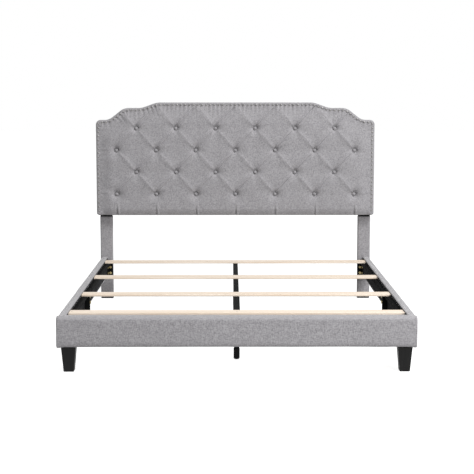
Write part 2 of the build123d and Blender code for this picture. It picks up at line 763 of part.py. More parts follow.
cloth_holes = [holes_for(all_post_bolt_seats, bolt_radius, post_depth + dust_cloth_thickness + overrun)]
save(crown_plate(dust_cloth_inset, panel_back, dust_cloth_front, cloth_holes), "headboard_dust_cloth")

# T-nuts in the front of the board take the post bolts

with BuildPart() as headboard_nuts:
    with BuildSketch(Plane.XZ.offset(-board_front)):
        with Locations(*[(seat.origin.X, seat.origin.Z) for seat in nut_seats]):
            Circle(nut_flange_radius)
    extrude(amount=-nut_flange_thickness)
    with BuildSketch(Plane.XZ.offset(-board_front)):
        with Locations(*[(seat.origin.X, seat.origin.Z) for seat in nut_seats]):
            Circle(nut_barrel_radius)
    extrude(amount=-board_thickness)
    with Locations(*nut_seats):
        Cylinder(bolt_radius + bolt_hole_clearance, through_post, mode=Mode.SUBTRACT)
save(headboard_nuts, "headboard_nuts")

# Timber frame behind the board: an upright at each post and two crossbars between them

frame_bottom = headboard_clearance + upright_margin
frame_top = shoulder_z - shoulder_corner_radius
upright_outer = post_centre + upright_width / 2
upright_inner = post_centre - upright_width / 2
frame_y = (batten_front, dust_cloth_front)
uprights = []
for name, side in sides.items():
    upright_holes = [holes_for(post_bolt_seats[name], bolt_radius, through_post)]
    uprights.append(board(span(side, upright_inner, upright_outer), frame_y, (frame_bottom, frame_top), upright_holes))
save(group(uprights), "headboard_uprights")
crossbar_x = (-upright_inner, upright_inner)
lower_crossbar = board(crossbar_x, frame_y, (frame_bottom, frame_bottom + crossbar_height))
upper_crossbar = board(crossbar_x, frame_y, (frame_top - crossbar_height, frame_top))
save(group([lower_crossbar, upper_crossbar]), "headboard_crossbars")

# Tufts: rows of buttons, every other row shifted by half a pitch

tuft_rows = []
for row, count in enumerate(tuft_counts):
    row_z = headboard_top - headboard_height * tuft_top_share - row * tuft_row_pitch
    tuft_rows.append([((column - (count - 1) / 2) * tuft_pitch, row_z) for column in range(count)])
tufts = [tuft for tuft_row in tuft_rows for tuft in tuft_row]
widest = max(x for x, z in tufts)
dimple_taper = degrees(atan2(dimple_radius - dimple_seat_radius, dimple_depth))

# Creases run from button to button both ways, on to the crown above and straight down below

creases = []
rise_across = crease_rise * tuft_pitch / 2 / tuft_row_pitch
for lean in (-1, 1):
    entry = tuft_rows[1][0] if lean > 0 else tuft_rows[1][-1]
    starts = [(0, tuft) for tuft in tuft_rows[0]] + [(1, entry)]
    for row, (x, z) in starts:
        steps = min(len(tuft_rows) - 1 - row, int((widest - lean * x) / (tuft_pitch / 2)))
        end_point = (x + lean * steps * tuft_pitch / 2, z - steps * tuft_row_pitch)
        start_point = (x - lean * rise_across, z + crease_rise) if row == 0 else (x, z)
        creases.append((start_point, end_point))
for x, z in tuft_rows[-1]:
    creases.append(((x, z), (x, headboard_clearance - overrun)))
for tuft_row in (tuft_rows[1], tuft_rows[3]):
    for x, z in (tuft_row[0], tuft_row[-1]):
        creases.append(((x, z), (x + (half_width - widest if x > 0 else widest - half_width), z)))

# Tufted pad: foam and fabric over the board, with a flat border for the nails and a rolled lower edge

with BuildPart() as headboard_pad:
    with BuildSketch(Plane.XZ.offset(-dust_cloth_front)):
        make_face(crown_line.edges())
    extrude(amount=dust_cloth_front - border_front)
    fillet(headboard_pad.faces().sort_by(Axis.Y)[0].edges(), border_edge_radius)
    with BuildSketch(Plane.XZ.offset(-border_front)):
        make_face(crown_line.edges())
        offset(amount=-border_width)
        with Locations((0, headboard_clearance + border_width + bottom_roll_radius)):
            Rectangle(headboard_width - 2 * border_width, border_width * 4 + bottom_roll_radius,
                      align=(Align.CENTER, Align.MAX))
    extrude(amount=border_step, taper=border_taper)
    with BuildSketch(Plane.YZ.offset(-half_width - overrun)) as roll:
        with Locations((panel_front, headboard_clearance)):
            Rectangle(headboard_thickness - dust_cloth_thickness, headboard_height + overrun, align=Align.MIN)
        lower_front = roll.vertices().group_by(Axis.Y)[0].sort_by(Axis.X)[0]
        fillet(lower_front, bottom_roll_radius)
    extrude(amount=headboard_width + 2 * overrun, mode=Mode.INTERSECT)
    for (x_start, z_start), (x_end, z_end) in creases:
        run = hypot(x_end - x_start, z_end - z_start)
        along = (x_end - x_start, 0, z_end - z_start)
        with BuildSketch(Plane((x_start, panel_front, z_start), x_dir=(0, 1, 0), z_dir=along)):
            half_crease = crease_width / 2
            Polygon((crease_depth, 0), (0, half_crease), (-overrun, half_crease), (-overrun, -half_crease),
                    (0, -half_crease), align=None)
        extrude(amount=run, mode=Mode.SUBTRACT)
    with BuildSketch(Plane.XZ.offset(-panel_front)):
        with Locations(*tufts):
            RegularPolygon(dimple_radius, facet_count)
    extrude(amount=-dimple_depth, taper=dimple_taper, mode=Mode.SUBTRACT)
    with BuildSketch(Plane.XZ.offset(-dust_cloth_front)):
        make_face(crown_line.edges())
        offset(amount=-side_wrap)
    extrude(amount=dust_cloth_front - board_front, mode=Mode.SUBTRACT)
save(headboard_pad, "headboard_pad")

# Fabric-covered buttons at the bottom of the tufts

with BuildPart() as headboard_buttons:
    with BuildSketch(Plane.XZ.offset(-tuft_seat)):
        with Locations(*tufts):
            RegularPolygon(button_radius, facet_count)
    extrude(amount=button_rim)
    with BuildSketch(Plane.XZ.offset(button_rim - tuft_seat)):
        with Locations(*tufts):
            RegularPolygon(button_radius, facet_count)
    extrude(amount=button_crown, taper=button_taper)
save(headboard_buttons, "headboard_buttons")

# Nail trim: one row of domed nails up both sides and over the crown

with BuildSketch() as nail_outline:
    make_face(crown_line.edges())
    offset(amount=-nail_inset)
nail_line = Wire(nail_outline.edges().sort_by(Axis.Y)[1:])
nail_count = ceil(nail_line.length / nail_pitch)
nail_points = [nail_line.position_at((number + 0.5) / nail_count) for number in range(nail_count)]
with BuildPart() as headboard_nails:
    with BuildSketch(Plane.XZ.offset(-border_front)):
        with Locations(*nail_points):
            RegularPolygon(nail_radius, nail_facet_count)
    extrude(amount=nail_height, taper=nail_taper)
save(headboard_nails, "headboard_nails")
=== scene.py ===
import math
import random

import bmesh
import bpy
import numpy as np
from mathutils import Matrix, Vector, kdtree, noise


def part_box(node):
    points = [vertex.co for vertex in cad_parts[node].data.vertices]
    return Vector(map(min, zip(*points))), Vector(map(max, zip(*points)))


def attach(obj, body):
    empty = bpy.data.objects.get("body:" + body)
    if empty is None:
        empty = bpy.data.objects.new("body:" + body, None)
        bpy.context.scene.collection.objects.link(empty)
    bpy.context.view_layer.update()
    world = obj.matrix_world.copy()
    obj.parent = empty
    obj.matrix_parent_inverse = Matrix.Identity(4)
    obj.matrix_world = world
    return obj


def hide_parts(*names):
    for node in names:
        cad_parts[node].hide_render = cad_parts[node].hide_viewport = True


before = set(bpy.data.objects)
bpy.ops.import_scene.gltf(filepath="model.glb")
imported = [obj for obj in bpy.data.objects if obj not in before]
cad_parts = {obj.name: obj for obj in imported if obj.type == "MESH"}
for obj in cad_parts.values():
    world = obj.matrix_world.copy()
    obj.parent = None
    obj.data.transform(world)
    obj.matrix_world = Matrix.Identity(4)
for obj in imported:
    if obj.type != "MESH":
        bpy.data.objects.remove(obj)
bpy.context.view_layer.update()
bpy.ops.object.select_all(action="DESELECT")
random.seed(7)

# Headboard pad. Foam on a plywood board under one piece of grey linen-look polyester, pulled in by buttons
# so that the spare cloth folds into pleats from button to button, and stapled behind.
MM = 0.001
shoulder_drop = 102 * MM
step_drop = 32 * MM
crown_place_shares = (0.906, 0.798, 0.671, 0.562)
crown_radii = (12 * MM, 28 * MM, 78 * MM, 84 * MM, 112 * MM, 112 * MM)
outline_step = 3 * MM
pad_edge_radius = 10 * MM
cells_per_tuft = 34


def box_of(node):
    """The low and the high corner of a CAD node's box."""
    return [Vector(corner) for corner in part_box(node)]


def rounded_outline(corners, step):
    """Points every step or so round a closed outline of (x, z, radius) corners, each corner an arc."""
    points = []
    for number, (x, z, radius) in enumerate(corners):
        corner = Vector((x, z))
        before = (Vector(corners[number - 1][:2]) - corner).normalized()
        after = (Vector(corners[(number + 1) % len(corners)][:2]) - corner).normalized()
        half_angle = before.angle(after) / 2
        centre = corner + (before + after).normalized() * radius / math.sin(half_angle)
        start = corner + before * radius / math.tan(half_angle) - centre
        sweep = math.pi - 2 * half_angle
        turn = 1 if before.cross(after) < 0 else -1
        arc_steps = max(2, round(radius * sweep / step))
        for arc_step in range(arc_steps + 1):
            angle = turn * sweep * arc_step / arc_steps
            points.append(centre + Vector((start.x * math.cos(angle) - start.y * math.sin(angle),
                                           start.x * math.sin(angle) + start.y * math.cos(angle))))
    dense = []
    for here, there in zip(points, points[1:] + points[:1]):
        pieces = max(1, round((there - here).length / step))
        dense += [here.lerp(there, piece / pieces) for piece in range(pieces)]
    return dense


pad_low, pad_high = box_of("headboard_pad")
pad_half_width = pad_high.x
shoulder_z = pad_high.z - shoulder_drop
step_z = pad_high.z - step_drop
middle_z = (pad_low.z + shoulder_z) / 2
crown_x = [pad_half_width, pad_half_width] + [pad_half_width * share for share in crown_place_shares]
crown_z = [pad_low.z, shoulder_z, shoulder_z, step_z, step_z, pad_high.z]
right_half = list(zip(crown_x, crown_z, crown_radii))
left_half = [(-x, z, radius) for x, z, radius in reversed(right_half)]
outline_points = rounded_outline(right_half + left_half, outline_step)
crown_points = np.array([(point.x, point.y) for point in outline_points])
chords = np.roll(crown_points, -1, axis=0) - np.roll(crown_points, 1, axis=0)
crown_normals = np.stack([chords[:, 1], -chords[:, 0]], axis=1)
crown_normals /= np.linalg.norm(crown_normals, axis=1)[:, None]
crown_run = np.concatenate([[0], np.cumsum(np.linalg.norm(np.diff(crown_points, axis=0), axis=1))])


def islands(node):
    """The centre of each separate solid of a CAD node, in order from the top row down and left to right."""
    same_place = 0.01 * MM
    shape = bmesh.new()
    shape.from_mesh(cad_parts[node].data)
    bmesh.ops.remove_doubles(shape, verts=shape.verts, dist=same_place)
    centres = []
    waiting = set(shape.verts)
    while waiting:
        found = [waiting.pop()]
        for vertex in found:
            for edge in vertex.link_edges:
                other = edge.other_vert(vertex)
                if other in waiting:
                    waiting.remove(other)
                    found.append(other)
        low = Vector([min(vertex.co[axis] for vertex in found) for axis in range(3)])
        high = Vector([max(vertex.co[axis] for vertex in found) for axis in range(3)])
        centres.append((low + high) / 2)
    shape.free()
    return sorted(centres, key=lambda centre: (-round(centre.z, 3), round(centre.x, 3)))


tufts = islands("headboard_buttons")
tuft_row_heights = sorted({round(tuft.z, 3) for tuft in tufts}, reverse=True)
tuft_rows = [[tuft for tuft in tufts if round(tuft.z, 3) == height] for height in tuft_row_heights]
tuft_pitch = tuft_rows[0][1].x - tuft_rows[0][0].x
tuft_row_pitch = tuft_row_heights[0] - tuft_row_heights[1]


def outline_heights(points, x):
    """The upper and the lower height at each x of an outline like the crown's."""
    heights = []
    for half in (points[points[:, 1] > middle_z], points[points[:, 1] <= middle_z]):
        half = half[np.argsort(half[:, 0])]
        heights.append(np.interp(x, half[:, 0], half[:, 1]))
    return heights


# The front is a grid whose cells divide the spacing of the tufts, so its diagonals run along the pleats. The
# rows between the tufts are even, and those above and below them are stretched to the outline.
column_step = tuft_pitch / 2 / cells_per_tuft
row_step = tuft_row_pitch / cells_per_tuft
face_half_width = pad_half_width - pad_edge_radius
columns = 2 * math.ceil(face_half_width / column_step)
rows_below = math.ceil((tuft_row_heights[0] - pad_low.z - pad_edge_radius) / row_step)
rows_above = math.ceil((pad_high.z - pad_edge_radius - tuft_row_heights[0]) / row_step)
bpy.ops.mesh.primitive_grid_add(x_subdivisions=columns, y_subdivisions=rows_below + rows_above, size=2)
pad = bpy.context.object
pad.name = "tufted_headboard_pad"
coordinates = np.empty(len(pad.data.vertices) * 3)
pad.data.vertices.foreach_get("co", coordinates)
coordinates = coordinates.reshape(-1, 3)
pad_x = np.clip(coordinates[:, 0] * columns / 2 * column_step, -face_half_width, face_half_width)
row_number = (coordinates[:, 1] + 1) / 2 * (rows_below + rows_above) - rows_below

# The outline's upright sides have many heights at one x, so its ends are read just inside them.
beside_uprights = face_half_width - 0.3 * MM
face_points = crown_points - crown_normals * pad_edge_radius
top_z, bottom_z = outline_heights(face_points, np.clip(pad_x, -beside_uprights, beside_uprights))
even_margin = tuft_row_pitch / 4
even_top = tuft_row_heights[0] - even_margin
even_bottom = tuft_row_heights[-1] - even_margin
grid_top = tuft_row_heights[0] + rows_above * row_step
grid_bottom = tuft_row_heights[0] - rows_below * row_step
even_z = tuft_row_heights[0] + row_number * row_step
stretched_up = even_top + (even_z - even_top) * (top_z - even_top) / (grid_top - even_top)
stretched_down = even_bottom - (even_bottom - even_z) * (even_bottom - bottom_z) / (even_bottom - grid_bottom)
pad_z = np.where(even_z > even_top, stretched_up, np.where(even_z < even_bottom, stretched_down, even_z))


def tree_of(numbers):
    """The crown's points that have these numbers, for finding the nearest."""
    tree = kdtree.KDTree(len(numbers))
    for number in numbers:
        tree.insert((crown_points[number][0], 0, crown_points[number][1]), int(number))
    tree.balance()
    return tree


upright_normal = 0.95
downward_normal = -0.7
top_numbers = np.nonzero((np.abs(crown_normals[:, 0]) < upright_normal) & (crown_points[:, 1] > middle_z))[0]
outline_tree = tree_of(range(len(crown_points)))
top_tree = tree_of(top_numbers)
nearest = [outline_tree.find((x, 0, z)) for x, z in zip(pad_x, pad_z)]
edge_distance = np.array([distance for point, number, distance in nearest])
edge_number = np.array([number for point, number, distance in nearest])
top_distance = np.array([top_tree.find((x, 0, z))[2] for x, z in zip(pad_x, pad_z)])
on_bottom_edge = crown_normals[edge_number][:, 1] < downward_normal


def smooth_step(value):
    """0 below 0 and 1 above 1, with a smooth rise between them."""
    clipped = np.clip(value, 0, 1)
    return clipped * clipped * (3 - 2 * clipped)


# The foam swells up inside the flat border that the nails hold down, most slowly under the crown, and rolls
# under along the bottom, after a slant that starts a little higher.
border_depth = 14 * MM
border_width = 19 * MM
top_swell_run = 110 * MM
side_swell_run = 78 * MM
lower_roll = 18 * MM
lower_bevel_height = 42 * MM
lower_bevel_depth = 9 * MM
roll_end_run = 27 * MM
from_side = pad_half_width - np.abs(pad_x) - border_width
from_bottom = pad_z - pad_low.z
rolled = lower_roll - np.clip(from_bottom, 0, lower_roll)
roll = lower_roll - np.sqrt(np.maximum(lower_roll ** 2 - rolled ** 2, 0))
roll += lower_bevel_depth * smooth_step((lower_bevel_height - from_bottom) / lower_bevel_height)
roll_reach = smooth_step(from_side / roll_end_run)
swell = smooth_step(from_side / side_swell_run) * smooth_step((top_distance - border_width) / top_swell_run)
height = border_depth * swell - roll * roll_reach

# The pleats that fall to the right lap over: the cloth rises to a fold whose edge lies on the line, with a
# narrow tuck below it. The others are plain tucks with a ridge beside them, as are those that fall from the
# lowest buttons to the bottom edge, which open only on their way down.
lap_strength = 0.85
lap_height = 8 * MM
lap_shift = 2 * MM
lap_above = 17 * MM
lap_below = 20 * MM
lap_tuck_width = 3 * MM
lap_tuck_share = 0.5
tuck_strength = 1.35
pleat_depth = 4.5 * MM
pleat_end_depth = 11 * MM
pleat_above = 4 * MM
pleat_below = 7 * MM
pleat_sharpness = 1.1
ridge_height = 5.2 * MM
ridge_place = 7.5 * MM
ridge_width = 6.5 * MM
ridge_start_share = 0.85
ridge_growth_share = 0.3
short_tuck_strength = 0.28
fall_strength = 0.85
fall_drift = 2 * MM
fall_start_share = 0.3
fall_growth_share = 0.5
pleat_wander = 2 * MM
pleat_unevenness = 0.15
pleat_end_fade = 6 * MM
pleats = []
for lean, kind, strength in ((1, "lap", lap_strength), (-1, "tuck", tuck_strength)):
    for upper_row, lower_row in zip(tuft_rows, tuft_rows[1:]):
        for tuft in upper_row:
            for other in lower_row:
                if abs(other.x - tuft.x - lean * tuft_pitch / 2) < column_step:
                    pleats.append((tuft.x, tuft.z, other.x, other.z, strength, kind))
    for tuft in tuft_rows[0]:
        above_x = tuft.x - lean * tuft_pitch / 2
        pleats.append((above_x, tuft.z + tuft_row_pitch, tuft.x, tuft.z, strength, kind))
for tuft in tuft_rows[-1]:
    pleats.append((tuft.x, tuft.z, tuft.x + fall_drift, pad_low.z, fall_strength, "fall"))
for tuft_row in (tuft_rows[1], tuft_rows[3]):
    for tuft in (tuft_row[0], tuft_row[-1]):
        edge_x = math.copysign(pad_half_width, tuft.x)
        pleats.append((edge_x, tuft.z, tuft.x, tuft.z, short_tuck_strength, "tuck"))

tuck = np.zeros(len(pad_x))
ridge = np.zeros(len(pad_x))
for x_start, z_start, x_end, z_end, strength, kind in pleats:
    run = math.hypot(x_end - x_start, z_end - z_start)
    run_x, run_z = (x_end - x_start) / run, (z_end - z_start) / run
    share = ((pad_x - x_start) * run_x + (pad_z - z_start) * run_z) / run
    side = (pad_x - x_start) * -run_z + (pad_z - z_start) * run_x
    if run_x < 0:
        side = -side
    side = side + random.uniform(-pleat_wander, pleat_wander) * np.sin(math.pi * np.clip(share, 0, 1))
    beyond = np.maximum(np.maximum(-share, share - 1), 0) * run
    fade = np.exp(-(beyond / pleat_end_fade) ** 2)
    to_end = np.clip(np.abs(2 * share - 1), 0, 1) ** 2
    deep = strength * (pleat_depth + (pleat_end_depth - pleat_depth) * to_end)
    deep *= random.uniform(1 - pleat_unevenness, 1 + pleat_unevenness)
    if kind == "fall":
        fade = fade * smooth_step((share - fall_start_share) / fall_growth_share)
    if kind == "lap":
        deep = deep * lap_tuck_share
        side = side - lap_shift
        profile = np.exp(-((side + lap_tuck_width / 2) / lap_tuck_width) ** 2)
        crest = lap_height * np.exp(-np.where(side > 0, side / lap_above, -side / lap_below))
    else:
        below = np.exp(-np.abs(side / pleat_below) ** pleat_sharpness)
        profile = np.where(side > 0, np.exp(-(side / pleat_above) ** 2), below)
        crest = strength * ridge_height * np.exp(-((side - ridge_place) / ridge_width) ** 2)
    tuck = np.maximum(tuck, deep * profile * fade)
    growth = ridge_start_share + ridge_growth_share * np.clip(share, 0, 1)
    ridge = np.maximum(ridge, crest * fade * growth)

# Each button sits in a steep funnel in the middle of a wide hollow, with small creases round its rim.
button_seat_radius = 10.5 * MM
button_seat_depth = 31 * MM
funnel_run = 7.5 * MM
hollow_depth = 9 * MM
hollow_run = 32 * MM
crease_depth = 1.3 * MM
creases_per_button = 7
dimple = np.zeros(len(pad_x))
for tuft in tufts:
    away = np.hypot(pad_x - tuft.x, pad_z - tuft.z)
    angle = np.arctan2(pad_z - tuft.z, pad_x - tuft.x)
    turn = random.uniform(0, 2 * math.pi)
    crease = crease_depth * np.cos(creases_per_button * angle + turn)
    crease *= np.exp(-((away - 2 * funnel_run) / funnel_run) ** 2)
    beyond = np.maximum(away - button_seat_radius, 0)
    funnel = (button_seat_depth - hollow_depth) * np.exp(-beyond / funnel_run)
    hollow = hollow_depth * np.exp(-(beyond / hollow_run) ** 2)
    dimple = np.maximum(dimple, funnel + hollow + crease)

# Small gathers run in from the nails, most along the top, where the cloth is pulled up over the crown.
nail_spots = islands("headboard_nails")
nail_pitch = 24.6 * MM
gather_depth = 5 * MM
gather_start = 13 * MM
side_gather_reach = 10 * MM
top_gather_reach = 30 * MM
side_gather_share = 0.45
gather_sharpness = 1.5
pulls_per_metre = 23
mean_pull = 0.85
pull_unevenness = 1.3
least_pull = 0.15
most_pull = 1.3
top_blend = 60 * MM
on_top = smooth_step((pad_z - shoulder_z + top_blend) / top_blend)
gather_reach = side_gather_reach + (top_gather_reach - side_gather_reach) * on_top
gather_fade = np.exp(-np.maximum(edge_distance - border_width, 0) / gather_reach)
gather_fade *= edge_distance > gather_start
pull = np.array([noise.noise(Vector((run * pulls_per_metre, 0, 0))) for run in crown_run])[edge_number]
pull = np.clip(mean_pull + pull_unevenness * pull, least_pull, most_pull)
gather_share = (side_gather_share + (1 - side_gather_share) * on_top) * pull
between_nails = 0.5 - 0.5 * np.cos(2 * math.pi * crown_run[edge_number] / nail_pitch)
gather = gather_depth * gather_share * between_nails ** gather_sharpness * gather_fade * ~on_bottom_edge

# The folds, the hollows and the foam's own unevenness fade out towards the border.
folds_run = 20 * MM
foam_lumps_per_metre = 14
foam_lump_height = 1.6 * MM
lumps = np.array([noise.noise(Vector((x, 0, z)) * foam_lumps_per_metre) for x, z in zip(pad_x, pad_z)])
inner = np.where(on_bottom_edge, roll_reach, smooth_step((edge_distance - border_width) / folds_run))
height += inner * (ridge - np.maximum(tuck, dimple) + foam_lump_height * lumps) - gather
pad_y = pad_low.y + border_depth - height
pad.data.vertices.foreach_set("co", np.stack([pad_x, pad_y, pad_z], axis=1).ravel())
pad.data.update()

# The edge turns back round the board: its rim is extruded outwards and back, and the back is closed.
rim_slack = 0.5 * MM
rim_middle = 22 * MM
rim_end = 34 * MM
rim_steps = []
for share in (0.25, 0.5, 0.75, 1):
    angle = math.pi / 2 * share
    rim_steps.append((pad_edge_radius * math.sin(angle), pad_edge_radius * (1 - math.cos(angle))))
rim_steps += [(pad_edge_radius - rim_slack, rim_middle), (pad_edge_radius - 2 * rim_slack, rim_end)]
rim_steps += [(pad_edge_radius - 2 * rim_slack, None)]
shape = bmesh.new()
shape.from_mesh(pad.data)
rim = [edge for edge in shape.edges if edge.is_boundary]
rim_base = {}
for vertex in {vertex for edge in rim for vertex in edge.verts}:
    point, number, distance = outline_tree.find((vertex.co.x, 0, vertex.co.z))
    rim_base[vertex] = (vertex.co.copy(), Vector((crown_normals[number][0], 0, crown_normals[number][1])))
for outward, backward in rim_steps:
    made = bmesh.ops.extrude_edge_only(shape, edges=rim)["geom"]
    new_base = {}
    for vertex in [item for item in made if isinstance(item, bmesh.types.BMVert)]:
        for edge in vertex.link_edges:
            other = edge.other_vert(vertex)
            if other in rim_base:
                new_base[vertex] = rim_base[other]
    for vertex, (start, normal) in new_base.items():
        vertex.co = start + normal * outward
        vertex.co.y = pad_high.y if backward is None else start.y + backward
    rim_base = new_base
    rim = [item for item in made if isinstance(item, bmesh.types.BMEdge) and item.is_boundary]
bmesh.ops.contextual_create(shape, geom=rim)
bmesh.ops.recalc_face_normals(shape, faces=shape.faces)
shape.to_mesh(pad.data)
shape.free()
bpy.ops.object.shade_smooth()
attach(pad, "bed_frame")
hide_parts("headboard_pad")


def linear(hex_colour):
    """An sRGB hex colour as linear red, green, blue and alpha."""
    channels = [int(hex_colour[place:place + 2], 16) / 255 for place in (1, 3, 5)]
    return [c / 12.92 if c <= 0.04045 else ((c + 0.055) / 1.055) ** 2.4 for c in channels] + [1.0]


def add_node(tree, kind, inputs=None, **settings):
    """A new node with its settings; an input is a value, an output, or a node that gives its first output."""
    node = tree.nodes.new(kind)
    for name, value in settings.items():
        setattr(node, name, value)
    for name, value in (inputs or {}).items():
        if isinstance(value, bpy.types.Node):
            value = value.outputs[0]
        if isinstance(value, bpy.types.NodeSocket):
            tree.links.new(value, node.inputs[name])
        else:
            node.inputs[name].default_value = value
    return node


def new_material(name):
    """A material with an empty Principled surface: (material, tree, shader)."""
    material = bpy.data.materials.new(name)
    material.use_nodes = True
    return material, material.node_tree, material.node_tree.nodes["Principled BSDF"]


def surface(tree, shader, colour, rough, bump=None, gloss=0.5, metallic=0.0):
    """The shader's look: colour is a node that mixes two colours, and rough a node or a value."""
    tree.links.new(colour.outputs[2], shader.inputs["Base Color"])
    if isinstance(rough, bpy.types.Node):
        tree.links.new(rough.outputs[0], shader.inputs["Roughness"])
    else:
        shader.inputs["Roughness"].default_value = rough
    if bump is not None:
        tree.links.new(bump.outputs[0], shader.inputs["Normal"])
    shader.inputs["Specular IOR Level"].default_value = gloss
    shader.inputs["Metallic"].default_value = metallic


# Linen-look polyester: melange yarns in two greys, woven plain. The slubs are drawn about 3 mm thick, since
# the real yarns, 0.8 mm apart, are too fine to show. Rough, with a soft sheen from the loose fibres.
slub_width = 2.6 * MM
slub_length = 15 * MM
thread_width = 1.5 * MM
thread_length = 6 * thread_width
yarn_contrast = 0.34
weave_height = 1.2 * MM
tint_patch = 111 * MM
tint_swing = 0.03
linen, tree, shader = new_material("linen_look_polyester")
coordinate = add_node(tree, "ShaderNodeTexCoord")
place = coordinate.outputs["Object"]
facing = add_node(tree, "ShaderNodeSeparateXYZ", {"Vector": coordinate.outputs["Normal"]})
yarns = 0.0
for axis in range(3):
    square = add_node(tree, "ShaderNodeMath", {0: facing.outputs[axis], 1: 2.0}, operation="POWER")
    shown = add_node(tree, "ShaderNodeMath", {0: 1.0, 1: square}, operation="SUBTRACT")
    for width, length, detail in ((slub_width, slub_length, 2.0), (thread_width, thread_length, 1.0)):
        scale = [1 / width] * 3
        scale[axis] = 1 / length
        turned = add_node(tree, "ShaderNodeMapping", {"Vector": place, "Scale": scale})
        yarn = add_node(tree, "ShaderNodeTexNoise", {"Vector": turned, "Scale": 1.0, "Detail": detail})
        level = add_node(tree, "ShaderNodeMath", {0: yarn, 1: 0.5}, operation="SUBTRACT")
        level = add_node(tree, "ShaderNodeMath", {0: level, 1: shown}, operation="MULTIPLY")
        yarns = add_node(tree, "ShaderNodeMath", {0: level, 1: yarns}, operation="ADD")
level = add_node(tree, "ShaderNodeMapRange", {"Value": yarns, "From Min": -yarn_contrast,
                                             "From Max": yarn_contrast})
shade = add_node(tree, "ShaderNodeMix", {"Factor": level, 6: linear("#838184"), 7: linear("#adabae")},
                 data_type="RGBA")
patches = add_node(tree, "ShaderNodeTexNoise", {"Vector": place, "Scale": 1 / tint_patch, "Detail": 2.0})
tint = add_node(tree, "ShaderNodeMapRange", {"Value": patches, "To Min": 1 - tint_swing,
                                            "To Max": 1 + tint_swing})
tinted = add_node(tree, "ShaderNodeMix", {"Factor": 1.0, 6: shade.outputs[2], 7: tint}, data_type="RGBA",
                  blend_type="MULTIPLY")
weave = add_node(tree, "ShaderNodeBump", {"Height": yarns, "Strength": 0.35, "Distance": weave_height})
surface(tree, shader, tinted, rough=0.92, bump=weave, gloss=0.2)
shader.inputs["Sheen Weight"].default_value = 0.45
shader.inputs["Sheen Roughness"].default_value = 0.5
pad.data.materials.clear()
pad.data.materials.append(linen)

# Buttons. Caps covered with the pad's own cloth, drawn down by a cord through the board: a dome of smooth
# cloth that sits in the bottom of its hollow.
button_height = 12 * MM
button_waist = 1 * MM


def copies(model, places, name):
    """The model set down at each place, and all of them joined as one piece with its places in its mesh."""
    made = []
    for place in places:
        copy = bpy.data.objects.new(name, model.data.copy())
        copy.location = place
        bpy.context.collection.objects.link(copy)
        made.append(copy)
    bpy.data.objects.remove(model)
    bpy.ops.object.select_all(action="DESELECT")
    for copy in made:
        copy.select_set(True)
    bpy.context.view_layer.objects.active = made[0]
    bpy.ops.object.join()
    bpy.ops.object.transform_apply(location=True, rotation=False, scale=False)
    made[0].name = name
    return made[0]


def finish(piece, material, slot, *nodes, sharp=None):
    """The piece gets its material, rides on the bed's frame and stands for its nodes; slot is not used."""
    piece.data.materials.clear()
    piece.data.materials.append(material)
    bpy.ops.object.select_all(action="DESELECT")
    piece.select_set(True)
    bpy.context.view_layer.objects.active = piece
    if sharp is None:
        bpy.ops.object.shade_smooth()
    else:
        bpy.ops.object.shade_smooth_by_angle(angle=math.radians(sharp))
    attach(piece, "bed_frame")
    if nodes:
        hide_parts(*nodes)


def dome(radius, depth, segments, rings):
    """A flattened ball that bulges to the front and to the back."""
    bpy.ops.mesh.primitive_uv_sphere_add(segments=segments, ring_count=rings, radius=1,
                                         rotation=(math.pi / 2, 0, 0))
    ball = bpy.context.object
    ball.scale = (radius, radius, depth)
    bpy.ops.object.transform_apply(location=False, rotation=True, scale=True)
    return ball


button_low, button_high = box_of("headboard_buttons")
button_radius = min(tuft.x for tuft in tufts) - button_low.x
button_places = [(tuft.x, button_high.y - button_waist, tuft.z) for tuft in tufts]
cap = dome(button_radius, button_height, segments=28, rings=16)
finish(copies(cap, button_places, "headboard_button_caps"), linen, "cover_fabric", "headboard_buttons")

# Decorative nails. Domed nickel heads, hammered in evenly round the sides and the crown on the flat border
# that they hold down. Brushed metal under a thin lacquer, so each shows one soft highlight.
nail_radius = 5.5 * MM
nickel_grain = 1.5 * MM
nickel, tree, shader = new_material("brushed_nickel")
place = add_node(tree, "ShaderNodeTexCoord").outputs["Object"]
grain = add_node(tree, "ShaderNodeTexNoise", {"Vector": place, "Scale": 1 / nickel_grain, "Detail": 3.0})
tone = add_node(tree, "ShaderNodeMix", {"Factor": grain, 6: linear("#616060"), 7: linear("#9c9a98")},
                data_type="RGBA")
rough = add_node(tree, "ShaderNodeMapRange", {"Value": grain, "To Min": 0.25, "To Max": 0.45})
surface(tree, shader, tone, rough, metallic=1.0)
nail_low, nail_high = box_of("headboard_nails")
nail_places = [(spot.x, nail_high.y, spot.z) for spot in nail_spots]
nail_head = dome(nail_radius, nail_high.y - nail_low.y, segments=12, rings=8)
finish(copies(nail_head, nail_places, "headboard_nail_heads"), nickel, "nail_metal", "headboard_nails")

# Board and timber frame inside the headboard. Birch plywood, pale with a broad figure, on uprights and
# crossbars of rough sawn softwood, with T-nuts and bolts. Their zinc plate has soft, slightly uneven
# highlights, and on the rails' bolts it is yellow.
X, Y, Z = range(3)
ring_stretch_share = 0.035
ring_bend_share = 0.22
rings_per_bend = 44.0
streak_stretch_share = 0.02
wear_patch = 71.4 * MM
zinc_grain = 1.2 * MM
zinc_dimple = 0.05 * MM


def dress(material, *nodes):
    """A CAD node keeps its shape and gets its real finish."""
    for node in nodes:
        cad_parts[node].data.materials.clear()
        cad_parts[node].data.materials.append(material)


